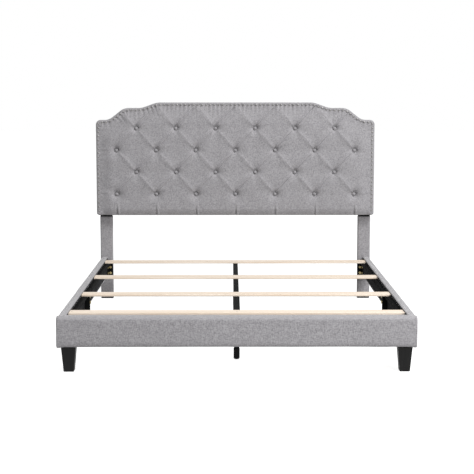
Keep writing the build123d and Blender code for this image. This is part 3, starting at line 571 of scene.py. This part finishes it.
def wood(name, grain_axis, pale, dark, ring_width, streak_width, bump_depth, rough, gloss=0.5):
    """Sawn or planed wood with its grain along one axis: growth rings in long curves, and fine streaks."""
    material, tree, shader = new_material(name)
    place = add_node(tree, "ShaderNodeTexCoord").outputs["Object"]
    ring_scale = [1 / ring_width] * 3
    ring_scale[grain_axis] = ring_stretch_share / ring_width
    streak_scale = [1 / streak_width] * 3
    streak_scale[grain_axis] = streak_stretch_share / streak_width
    turned = add_node(tree, "ShaderNodeMapping", {"Vector": place, "Scale": ring_scale})
    bend = add_node(tree, "ShaderNodeTexNoise", {"Vector": turned, "Scale": ring_bend_share, "Detail": 1.0})
    rings = add_node(tree, "ShaderNodeMath", {0: bend, 1: rings_per_bend}, operation="MULTIPLY")
    rings = add_node(tree, "ShaderNodeMath", {0: rings}, operation="SINE")
    rings = add_node(tree, "ShaderNodeMapRange", {"Value": rings, "From Min": -1.0, "From Max": 1.0})
    turned = add_node(tree, "ShaderNodeMapping", {"Vector": place, "Scale": streak_scale})
    streaks = add_node(tree, "ShaderNodeTexNoise", {"Vector": turned, "Scale": 1.0, "Detail": 3.0})
    level = add_node(tree, "ShaderNodeMix", {"Factor": 0.5, 2: rings, 3: streaks})
    tone = add_node(tree, "ShaderNodeMix", {"Factor": level, 6: linear(pale), 7: linear(dark)},
                    data_type="RGBA")
    bump = add_node(tree, "ShaderNodeBump", {"Height": level, "Strength": 0.35, "Distance": bump_depth})
    surface(tree, shader, tone, rough, bump, gloss)
    return material


def coated(name, pale, dark, grain_size, bump_depth, rough, metallic=0.0, gloss=0.5):
    """A moulded, painted or plated surface: a fine grain between two shades and two roughnesses."""
    material, tree, shader = new_material(name)
    place = add_node(tree, "ShaderNodeTexCoord").outputs["Object"]
    grain = add_node(tree, "ShaderNodeTexNoise", {"Vector": place, "Scale": 1 / grain_size, "Detail": 2.0})
    wear = add_node(tree, "ShaderNodeTexNoise", {"Vector": place, "Scale": 1 / wear_patch, "Detail": 3.0})
    level = add_node(tree, "ShaderNodeMix", {"Factor": 0.45, 2: grain, 3: wear})
    tone = add_node(tree, "ShaderNodeMix", {"Factor": level, 6: linear(dark), 7: linear(pale)},
                    data_type="RGBA")
    worn = add_node(tree, "ShaderNodeMapRange", {"Value": level, "From Min": 0.3, "From Max": 0.7,
                                                "To Min": rough[0], "To Max": rough[1]})
    bump = add_node(tree, "ShaderNodeBump", {"Height": grain, "Strength": 0.3, "Distance": bump_depth})
    surface(tree, shader, tone, worn, bump, gloss, metallic)
    return material


plywood = wood("birch_plywood", X, "#dcc49b", "#b99566", ring_width=26 * MM, streak_width=3 * MM,
               bump_depth=0.2 * MM, rough=0.7)
softwood_across, softwood_along, softwood_upright = [
    wood(f"sawn_softwood_{way}", axis, "#d8bf93", "#b8935f", ring_width=14 * MM, streak_width=2.5 * MM,
         bump_depth=0.4 * MM, rough=0.85)
    for way, axis in (("across", X), ("along", Y), ("upright", Z))]
zinc = coated("bright_zinc_plate", "#d3d2cb", "#a9a79d", zinc_grain, zinc_dimple, rough=(0.22, 0.42),
              metallic=1.0)
yellow_zinc = coated("yellow_zinc_plate", "#cdbf93", "#94845a", zinc_grain, zinc_dimple,
                     rough=(0.28, 0.48), metallic=1.0)
dress(plywood, "headboard_board")
dress(softwood_upright, "headboard_uprights")
dress(softwood_across, "headboard_crossbars")
dress(zinc, "headboard_nuts", "post_bolts", "centre_leg_bolts", "leg_hanger_bolts")
dress(yellow_zinc, "rail_bolts", "side_leg_bolts")

# Dust cloth. One piece of thin black non-woven cloth over the whole back of the headboard, cut a little
# inside the pad's outline and stapled round its edge. Dull black, with a fine texture of bonded dots drawn
# 3 mm apart, coarser than real. The staples' wire is bright galvanised steel.
lining_thickness = 0.4 * MM
lining_wave = 0.5 * MM
edge_pull_run = 14 * MM
wrinkles_per_metre = 11
wrinkle_share = 0.6
bonded_dots = 3 * MM
fibre_patch = 11.11 * MM
dot_height = 0.4 * MM
dust_cell = 11 * MM
dust_sink_share = 0.4
dust_staple_margin = 8 * MM
dust_staple_sink = 0.6 * MM
staple_crown = 11 * MM
staple_wire = 1.1 * MM
staple_bend_share = 0.35
staple_spacing = 62 * MM
lining_cloth, tree, shader = new_material("black_nonwoven_cloth")
place = add_node(tree, "ShaderNodeTexCoord").outputs["Object"]
dots = add_node(tree, "ShaderNodeTexVoronoi", {"Vector": place, "Scale": 1 / bonded_dots})
fibres = add_node(tree, "ShaderNodeTexNoise", {"Vector": place, "Scale": 1 / fibre_patch, "Detail": 4.0})
level = add_node(tree, "ShaderNodeMix", {"Factor": 0.5, 2: dots, 3: fibres})
tone = add_node(tree, "ShaderNodeMix", {"Factor": level, 6: linear("#202021"), 7: linear("#3c3c3e")},
                data_type="RGBA")
texture = add_node(tree, "ShaderNodeBump", {"Height": level, "Strength": 0.4, "Distance": dot_height})
surface(tree, shader, tone, rough=0.95, bump=texture, gloss=0.03)
staple_steel = coated("galvanised_staple_wire", "#d0d0ce", "#9c9c99", grain_size=1 * MM,
                      bump_depth=0.03 * MM, rough=(0.3, 0.5), metallic=1.0)


def edited(change, **settings):
    """One change in edit mode."""
    bpy.ops.object.mode_set(mode="EDIT")
    change(**settings)
    bpy.ops.object.mode_set(mode="OBJECT")


def staple(across):
    """One staple's crown, lying along an axis, with its bent shoulders."""
    bpy.ops.mesh.primitive_cube_add(size=1)
    crown = bpy.context.object
    size = Vector((staple_wire, staple_wire, staple_wire))
    size[across] = staple_crown
    crown.scale = size
    bpy.ops.object.transform_apply(location=False, rotation=False, scale=True)
    edited(bpy.ops.mesh.bevel, offset=staple_wire * staple_bend_share, segments=2, affect="EDGES")
    return crown


def looseness(run):
    """How free the cloth is at a run along its edge: 0 at a staple, and 1 midway between two."""
    return 0.5 - 0.5 * math.cos(2 * math.pi * run / staple_spacing)


def thicken(cloth, thickness):
    """The cloth's thickness, laid inwards from its outer face."""
    solidify = cloth.modifiers.new("thickness", "SOLIDIFY")
    solidify.thickness = thickness
    solidify.offset = -1
    bpy.context.view_layer.objects.active = cloth
    bpy.ops.object.modifier_apply(modifier=solidify.name)


dust_low, dust_high = box_of("headboard_dust_cloth")
dust_size = dust_high - dust_low
dust_inset = pad_half_width - dust_high.x
bpy.ops.mesh.primitive_grid_add(x_subdivisions=round(dust_size.x / dust_cell),
                                y_subdivisions=round(dust_size.z / dust_cell), size=1)
dust_cloth = bpy.context.object
dust_cloth.name = "headboard_dust_cloth_sheet"
dust_x = [dust_high.x - (vertex.co.x + 0.5) * dust_size.x for vertex in dust_cloth.data.vertices]
dust_top, dust_bottom = outline_heights(crown_points - crown_normals * dust_inset, dust_x)
for vertex, x, top, bottom in zip(dust_cloth.data.vertices, dust_x, dust_top, dust_bottom):
    z = bottom + (vertex.co.y + 0.5) * (top - bottom)
    point, number, distance = outline_tree.find((x, 0, z))
    edge_pull = max(0, 1 - (distance - dust_inset) / edge_pull_run) * (1 - looseness(crown_run[number]))
    wrinkle = wrinkle_share * noise.noise(Vector((x, 0, z)) * wrinkles_per_metre)
    vertex.co = Vector((x, dust_high.y + lining_wave * (wrinkle - dust_sink_share - edge_pull), z))
dust_cloth.data.update()
if dust_cloth.data.polygons[0].normal.y < 0:
    dust_cloth.data.flip_normals()
thicken(dust_cloth, lining_thickness)
finish(dust_cloth, lining_cloth, "black_lining", "headboard_dust_cloth")
staple_places = []
for number, run in enumerate(crown_run):
    if run >= len(staple_places) * staple_spacing:
        x, z = crown_points[number] - crown_normals[number] * dust_staple_margin
        staple_places.append(Vector((x, dust_high.y + staple_wire / 2 - dust_staple_sink, z)))
finish(copies(staple(X), staple_places, "headboard_staples"), staple_steel, "zinc_steel", sharp=40)

# Posts. Black-stained softwood posts in a sewn sleeve of the grey cloth up to the headboard and in black
# lining cloth behind it, on matt plastic feet as wide as the post, bolted through the board. The stain is
# nearly black and dull, and shows only a trace of the grain.
LEFT, RIGHT = (X, 0), (X, 1)
FRONT, BACK = (Y, 0), (Y, 1)
BOTTOM, TOP = (Z, 0), (Z, 1)
post_edge_radius = 5 * MM
post_wrap_end_radius = 2 * MM
post_sleeve_cell = 4.5 * MM
post_wrap_cell = 5 * MM
post_wave = 0.5 * MM
post_wall = 2.4 * MM
on_plane = 0.02 * MM
wadding_lumps_per_metre = (7, 23)
small_lump_share = 0.5
lump_sink_share = 0.4


def box_edge(ends, low, high):
    """The two box planes that an edge lies on, as (axis, end) pairs, or fewer for any other edge."""
    return frozenset((axis, end) for axis in (X, Y, Z) for end, level in ((0, low[axis]), (1, high[axis]))
                     if all(abs(point[axis] - level) < on_plane for point in ends))


def wrapped_cover(name, low, high, radii, rest, open_sides, lip, cell):
    """A board's cloth cover: a box with each edge rounded to its own radius, open where the cloth ends.

    radii gives the radius of an edge by its two planes, and rest the others'; the cloth turns in by lip at an
    open side."""
    bpy.ops.mesh.primitive_cube_add(size=1, location=(low + high) / 2)
    cover = bpy.context.object
    cover.name = name
    cover.scale = high - low
    bpy.ops.object.transform_apply(location=True, rotation=False, scale=True)
    for radius in sorted({*radii.values(), rest} - {0}, reverse=True):
        edited(bpy.ops.mesh.select_mode, type="EDGE")
        edited(bpy.ops.mesh.select_all, action="DESELECT")
        for line in cover.data.edges:
            planes = box_edge([cover.data.vertices[number].co for number in line.vertices], low, high)
            line.select = len(planes) == 2 and radii.get(planes, rest) == radius
        edited(bpy.ops.mesh.bevel, offset=radius, segments=4, affect="EDGES", clamp_overlap=True)
    remesh = cover.modifiers.new("even_cells", "REMESH")
    remesh.mode = "VOXEL"
    remesh.voxel_size = cell
    bpy.ops.object.modifier_apply(modifier=remesh.name)
    edited(bpy.ops.mesh.select_mode, type="FACE")
    edited(bpy.ops.mesh.select_all, action="DESELECT")
    for face in cover.data.polygons:
        for axis, end in open_sides:
            off_plane = abs(face.center[axis] - (high if end else low)[axis])
            inside = min(min(face.center[other] - low[other], high[other] - face.center[other])
                         for other in (X, Y, Z) if other != axis)
            if off_plane < cell / 2 and inside > lip:
                face.select = True
    edited(bpy.ops.mesh.delete, type="FACE")
    return cover


def soften(cover, wave, wall):
    """The wadding's gentle unevenness, and then the cover's thickness, inwards."""
    large, small = wadding_lumps_per_metre
    for vertex in cover.data.vertices:
        swing = noise.noise(vertex.co * large) + small_lump_share * noise.noise(vertex.co * small)
        vertex.co += vertex.normal * wave * (swing - lump_sink_share)
    cover.data.update()
    thicken(cover, wall)


black_plastic = coated("moulded_black_polypropylene", "#1b1b1c", "#0e0e0f", grain_size=0.8 * MM,
                       bump_depth=0.08 * MM, rough=(0.6, 0.8), gloss=0.15)
black_upright, black_stain = [
    wood(name, axis, "#0d0d0e", "#080808", ring_width=12 * MM, streak_width=2 * MM, bump_depth=0.2 * MM,
         rough=0.9, gloss=0.05)
    for name, axis in (("black_stained_softwood_upright", Z), ("black_stained_softwood", Y))]
upright_edges = {frozenset((end, face)): post_edge_radius for end in (LEFT, RIGHT) for face in (FRONT, BACK)}
wrap_low, wrap_high = box_of("post_linings")
for side in ("left", "right"):
    low, high = box_of(f"{side}_post_cover")
    sleeve = wrapped_cover(f"{side}_post_sleeve", low, high, upright_edges, 0, (BOTTOM, TOP), 0,
                           post_sleeve_cell)
    soften(sleeve, post_wave, post_wall)
    finish(sleeve, linen, "cover_fabric", f"{side}_post_cover")
    low.z = wrap_low.z
    high.z = wrap_high.z
    wrap = wrapped_cover(f"{side}_post_black_wrap", low, high, upright_edges, post_wrap_end_radius,
                         (BOTTOM,), 0, post_wrap_cell)
    soften(wrap, post_wave, post_wall)
    finish(wrap, lining_cloth, "black_lining", "post_linings")
    dress(black_upright, f"{side}_post_core")
dress(black_plastic, "post_glides")

# Foot rail. A softwood board under thin wadding and the grey cloth, which is drawn round the edges and
# stapled inside. The outer edges are soft, the lower one is rolled under, and the corners are folded like a
# parcel's.
rail_wall = 3 * MM
rail_cell = 4.5 * MM
past_core = 1 * MM
lip = 16 * MM
inner_edge_radius = 4 * MM
foot_top_radius = 14 * MM
foot_bottom_radius = 3 * MM
foot_corner_radius = 12 * MM
foot_end_radius = 8 * MM
foot_wave = 0.7 * MM
sag = 0.6 * MM
sag_height = 30 * MM
roll_height = 26 * MM
roll_depth = 6 * MM
roll_start = 8 * MM
roll_run = 10 * MM
corner_bulk = 3.5 * MM
corner_place_share = 0.955
corner_run_share = 0.03
top_padding = 6 * MM
top_padding_height = 26 * MM
top_padding_run = 18 * MM
front_margin = 4 * MM
back_margin = 6 * MM
fold_line = 22 * MM
fold_run = 4 * MM
fold_thickness = 1.2 * MM
fold_reach = 2 * MM
low, high = box_of("foot_rail_cover")
high.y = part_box("foot_rail_core")[1][1] + past_core
foot_edges = {frozenset((FRONT, TOP)): foot_top_radius, frozenset((FRONT, BOTTOM)): foot_bottom_radius}
for end in (LEFT, RIGHT):
    foot_edges[frozenset((end, FRONT))] = foot_corner_radius
    foot_edges[frozenset((end, BOTTOM))] = foot_end_radius
    foot_edges[frozenset((end, TOP))] = foot_end_radius
foot = wrapped_cover("foot_rail_wrap", low, high, foot_edges, inner_edge_radius, (BACK,), lip, rail_cell)
for vertex in foot.data.vertices:
    share = abs(vertex.co.x) / high.x
    corner = float(smooth_step((share - corner_place_share) / corner_run_share))
    lower_part = float(smooth_step((low.z + sag_height - vertex.co.z) / sag_height))
    upper_part = float(smooth_step((vertex.co.z - high.z + top_padding_height) / top_padding_run))
    front_part = float(smooth_step((high.y - roll_start - vertex.co.y) / roll_run))
    rolled = min(max((low.z + roll_height - vertex.co.z) / roll_height, 0), 1)
    vertex.co.y += roll_depth * front_part * (1 - math.sqrt(1 - rolled ** 2))
    from_front = vertex.co.y - low.y
    back_run = high.y - low.y - front_margin - back_margin
    back_part = float(smooth_step((from_front - front_margin) / back_run))
    vertex.co.z += lower_part * (sag * (1 - share ** 2) - corner_bulk * corner)
    vertex.co.z += top_padding * upper_part * back_part * (1 - corner / 2)
    if abs(vertex.co.x) > high.x - fold_reach:
        folded = float(smooth_step((from_front - fold_line) / fold_run))
        vertex.co.x += math.copysign(fold_thickness * folded, vertex.co.x)
soften(foot, foot_wave, rail_wall)
finish(foot, linen, "cover_fabric", "foot_rail_cover")
dress(softwood_across, "foot_rail_core")

# Linings. The same black non-woven cloth, stapled flat over the inner faces of the rails where the grey
# cloth ends.
lining_cell = 8 * MM
lining_lift = 0.6 * MM
lining_sink_share = 0.2
lining_staple_margin = 7 * MM
lining_staple_sink = 0.3 * MM
edge_bow = 0.8 * MM


def lining(name, node, low, high, facing, staple_name):
    """A flat cloth between two corners, drawn down at its staples and a little loose between them."""
    thin = max((X, Y, Z), key=lambda axis: abs(facing[axis]))
    wide, tall = [axis for axis in (X, Y, Z) if axis != thin]
    size = high - low
    bpy.ops.mesh.primitive_grid_add(x_subdivisions=round(size[wide] / lining_cell),
                                    y_subdivisions=round(size[tall] / lining_cell), size=1)
    cloth = bpy.context.object
    cloth.name = name
    level = (high[thin] if facing[thin] > 0 else low[thin]) + facing[thin] * lining_lift
    for vertex in cloth.data.vertices:
        place = Vector((0, 0, 0))
        wide_share, tall_share = vertex.co.x + 0.5, vertex.co.y + 0.5
        place[wide] = low[wide] + size[wide] * wide_share
        place[tall] = low[tall] + size[tall] * tall_share
        inside = min(min(wide_share, 1 - wide_share) * size[wide],
                     min(tall_share, 1 - tall_share) * size[tall])
        edge_pull = max(0, 1 - inside / edge_pull_run)
        loose = looseness(place[wide])
        wrinkle = wrinkle_share * noise.noise(place * wrinkles_per_metre)
        lifted = wrinkle - lining_sink_share - edge_pull * (1 - loose)
        place[thin] = level + facing[thin] * lining_wave * lifted
        place[tall] += edge_bow * edge_pull * loose * (1 if tall_share < 0.5 else -1)
        vertex.co = place
    cloth.data.update()
    if cloth.data.polygons[0].normal.dot(Vector(facing)) < 0:
        cloth.data.flip_normals()
    thicken(cloth, lining_thickness)
    finish(cloth, lining_cloth, "black_lining", node)
    places = []
    count = max(2, round(size[wide] / staple_spacing))
    for number in range(count):
        for end in (low[tall] + lining_staple_margin, high[tall] - lining_staple_margin):
            place = Vector((0, 0, 0))
            place[wide] = low[wide] + size[wide] * (number + 0.5) / count
            place[tall] = end
            place[thin] = level + facing[thin] * (staple_wire / 2 - lining_staple_sink)
            places.append(place)
    finish(copies(staple(wide), places, staple_name), staple_steel, "zinc_steel", sharp=40)


low, high = box_of("foot_rail_lining")
lining_margin = low.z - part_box("foot_rail_cover")[0][2]
lining("foot_rail_black_lining", "foot_rail_lining", low, high, (0, 1, 0),
       "foot_rail_staples")

# Side rails. Each is two softwood boards that meet end to end, wrapped one by one in wadding and the grey
# cloth, with soft outer edges and a lining inside.
side_top_radius = 12 * MM
side_bottom_radius = 9 * MM
side_wave = 0.4 * MM
for side, inner, outer in (("left", RIGHT, LEFT), ("right", LEFT, RIGHT)):
    side_edges = {frozenset((outer, TOP)): side_top_radius, frozenset((outer, BOTTOM)): side_bottom_radius}
    for half in ("front", "rear"):
        low, high = box_of(f"{side}_{half}_rail_cover")
        core_low, core_high = box_of(f"{side}_{half}_rail_core")
        if inner == RIGHT:
            high.x = core_high.x + past_core
        else:
            low.x = core_low.x - past_core
        wrap = wrapped_cover(f"{side}_{half}_rail_wrap", low, high, side_edges, inner_edge_radius, (inner,),
                             lip, rail_cell)
        soften(wrap, side_wave, rail_wall)
        finish(wrap, linen, "cover_fabric", f"{side}_{half}_rail_cover")
        dress(softwood_along, f"{side}_{half}_rail_core")
        lining_low, lining_high = box_of(f"{side}_rail_linings")
        lining_low.y = low.y + lining_margin
        lining_high.y = high.y - lining_margin
        lining(f"{side}_{half}_rail_black_lining", f"{side}_rail_linings", lining_low, lining_high,
               (1 if inner == RIGHT else -1, 0, 0), f"{side}_{half}_rail_staples")

# Front legs, the blocks over them, and the ledges inside the side rails. Softwood, tapered or sawn to size.
# The legs are sprayed with black satin lacquer that lets a little of the grain through, and the ledges are
# only stained.
black_lacquer = wood("black_satin_lacquer_on_wood", Z, "#1c1c1c", "#141414", ring_width=9 * MM,
                     streak_width=1.5 * MM, bump_depth=0.12 * MM, rough=0.5, gloss=0.15)
dress(black_lacquer, "front_left_leg", "front_right_leg")
dress(black_stain, "left_slat_ledges", "right_slat_ledges")
dress(softwood_across, "front_corner_blocks")

# Slats. Four planed pine boards screwed down on the ledges and on the centre beam. Pale and silky, with soft
# rings along the boards and a few small brown knots.
knot_spacing = Vector((420 * MM, 150 * MM))
knot_radius_share = 0.025
knot_edge_share = 0.055
knot_strength = 0.75
pine = wood("planed_pine", X, "#f4e8da", "#e3cfb9", ring_width=16 * MM, streak_width=2 * MM,
            bump_depth=0.15 * MM, rough=0.6)
tree = pine.node_tree
shader = tree.nodes["Principled BSDF"]
place = add_node(tree, "ShaderNodeTexCoord").outputs["Object"]
scale = (1 / knot_spacing.x, 1 / knot_spacing.y, 0)
turned = add_node(tree, "ShaderNodeMapping", {"Vector": place, "Scale": scale})
spots = add_node(tree, "ShaderNodeTexVoronoi", {"Vector": turned, "Scale": 1.0})
knots = add_node(tree, "ShaderNodeMapRange", {"Value": spots, "From Min": knot_radius_share,
                                             "From Max": knot_edge_share, "To Min": knot_strength,
                                             "To Max": 0.0})
grain_colour = shader.inputs["Base Color"].links[0].from_socket
tone = add_node(tree, "ShaderNodeMix", {"Factor": knots, 6: grain_colour, 7: linear("#b08a63")},
                data_type="RGBA")
tree.links.new(tone.outputs[2], shader.inputs["Base Color"])
dress(pine, "slat_1", "slat_2", "slat_3", "slat_4")

# Slat screws. Zinc-plated countersunk wood screws with a cross recess, driven just below the slats' faces:
# a cone for the head, two crossing bars cut out of it, and a shank with a point.
screw_sink = 0.7 * MM
head_radius = 4 * MM
head_height = 2.2 * MM
shank_radius = 1.9 * MM
point_length = 7 * MM
recess_width = 1.2 * MM
recess_reach = 2.5 * MM
screw_low, screw_high = box_of("slat_screws")
screw_length = screw_high.z - screw_low.z - screw_sink
shank_length = screw_length - head_height - point_length
bpy.ops.mesh.primitive_cone_add(vertices=20, radius1=shank_radius, radius2=head_radius, depth=head_height,
                                location=(0, 0, -head_height / 2))
screw = bpy.context.object
for turn in (0, math.pi / 2):
    bpy.ops.mesh.primitive_cube_add(size=1, rotation=(0, 0, turn))
    cutter = bpy.context.object
    cutter.scale = (2 * recess_reach, recess_width, 1.5 * head_height)
    cut = screw.modifiers.new("recess", "BOOLEAN")
    cut.operation = "DIFFERENCE"
    cut.object = cutter
    bpy.context.view_layer.objects.active = screw
    bpy.ops.object.modifier_apply(modifier=cut.name)
    bpy.data.objects.remove(cutter)
bpy.ops.mesh.primitive_cylinder_add(vertices=12, radius=shank_radius, depth=shank_length,
                                    location=(0, 0, -head_height - shank_length / 2))
shank = bpy.context.object
bpy.ops.mesh.primitive_cone_add(vertices=12, radius1=0, radius2=shank_radius, depth=point_length,
                                location=(0, 0, -screw_length + point_length / 2))
for piece in (screw, shank):
    piece.select_set(True)
bpy.context.view_layer.objects.active = screw
bpy.ops.object.join()
bpy.ops.object.transform_apply(location=True, rotation=True, scale=True)
screw_places = [(spot.x, spot.y, screw_high.z - screw_sink) for spot in islands("slat_screws")]
finish(copies(screw, screw_places, "slat_wood_screws"), zinc, "zinc_steel", "slat_screws", sharp=35)

# Steelwork. Bent plates, a square beam that telescopes, and tube legs, all powder coated black, which looks
# dull and faintly pebbled, with a plastic end cap, inserts and screw-out glides.
black_steel = coated("black_powder_coat", "#151617", "#0c0c0d", grain_size=1 * MM, bump_depth=0.12 * MM,
                     rough=(0.7, 0.9), gloss=0.06)
dress(black_steel, "front_corner_brackets", "head_corner_brackets", "splice_plates")
dress(black_steel, "beam_front_tube", "beam_rear_tube", "beam_hanger")
dress(black_plastic, "beam_end_cap", "leg_inserts")
for place in ("front_centre", "middle_centre", "rear_centre", "left_side", "right_side"):
    dress(black_steel, f"{place}_leg")
    dress(black_plastic, f"{place}_glide")

# Studio. A pale floor that shows white to the camera and keeps a faint shadow, and a white world. A large
# soft lamp stands high to the right of the camera, and a weaker one lower down on the same side.
floor_size = 60
floor_glow = 0.88
air_strength = 0.36
lamps = (("overhead_softbox", (3.3, -3.4, 6.6), 2.6, 455), ("side_softbox", (3.9, -5.4, 2.6), 2.2, 195))
lit_spot = Vector((0, 0.2, 0.5))


def seen_white(tree):
    """1 for the rays that are to meet plain white: from the camera, off a gloss, or through a clear piece."""
    rays = add_node(tree, "ShaderNodeLightPath").outputs
    seen = add_node(tree, "ShaderNodeMath", {0: rays["Is Camera Ray"], 1: rays["Is Glossy Ray"]},
                    operation="MAXIMUM")
    return add_node(tree, "ShaderNodeMath", {0: seen, 1: rays["Is Transmission Ray"]}, operation="MAXIMUM")


bpy.ops.mesh.primitive_plane_add(size=floor_size, location=(0, 0, 0))
floor = bpy.context.object
floor.name = "studio_floor"
paper, tree, shader = new_material("white_paper_floor")
shader.inputs["Base Color"].default_value = linear("#b0b0b0")
shader.inputs["Roughness"].default_value = 1.0
shader.inputs["Specular IOR Level"].default_value = 0.0
glow = add_node(tree, "ShaderNodeEmission", {"Color": linear("#ffffff"), "Strength": floor_glow})
clear = add_node(tree, "ShaderNodeEmission", {"Color": linear("#000000"), "Strength": 0.0})
mixed = add_node(tree, "ShaderNodeMixShader", {0: seen_white(tree), 1: clear, 2: glow})
both = add_node(tree, "ShaderNodeAddShader", {0: shader, 1: mixed})
tree.links.new(both.outputs[0], tree.nodes["Material Output"].inputs["Surface"])
floor.data.materials.append(paper)

world = bpy.data.worlds.new("studio_air")
bpy.context.scene.world = world
world.use_nodes = True
tree = world.node_tree
tree.nodes.clear()
level = add_node(tree, "ShaderNodeMapRange", {"Value": seen_white(tree), "To Min": air_strength})
air = add_node(tree, "ShaderNodeBackground", {"Color": linear("#ffffff"), "Strength": level})
add_node(tree, "ShaderNodeOutputWorld", {"Surface": air})

for name, place, size, power in lamps:
    bpy.ops.object.light_add(type="AREA", location=place)
    lamp = bpy.context.object
    lamp.name = name
    lamp.data.size = size
    lamp.data.energy = power
    lamp.rotation_euler = (lit_spot - Vector(place)).to_track_quat("-Z", "Y").to_euler()

# Camera. Where the photograph was taken from, worked out from the corners of the rails, posts and
# headboard, and looking a little down and to the right.
camera_place = (-0.0266, -6.802, 1.2643)
camera_down = 0.1139
camera_right = 0.0047
focal_pixels = 1317.5
picture_pixels = 474
bpy.ops.object.camera_add(location=camera_place, rotation=(math.pi / 2 - camera_down, 0, -camera_right))
camera = bpy.context.object
camera.name = "photo_camera"
camera.data.sensor_width = 36
camera.data.lens = focal_pixels / picture_pixels * camera.data.sensor_width
bpy.context.scene.camera = camera
bpy.context.scene.view_settings.view_transform = "Standard"
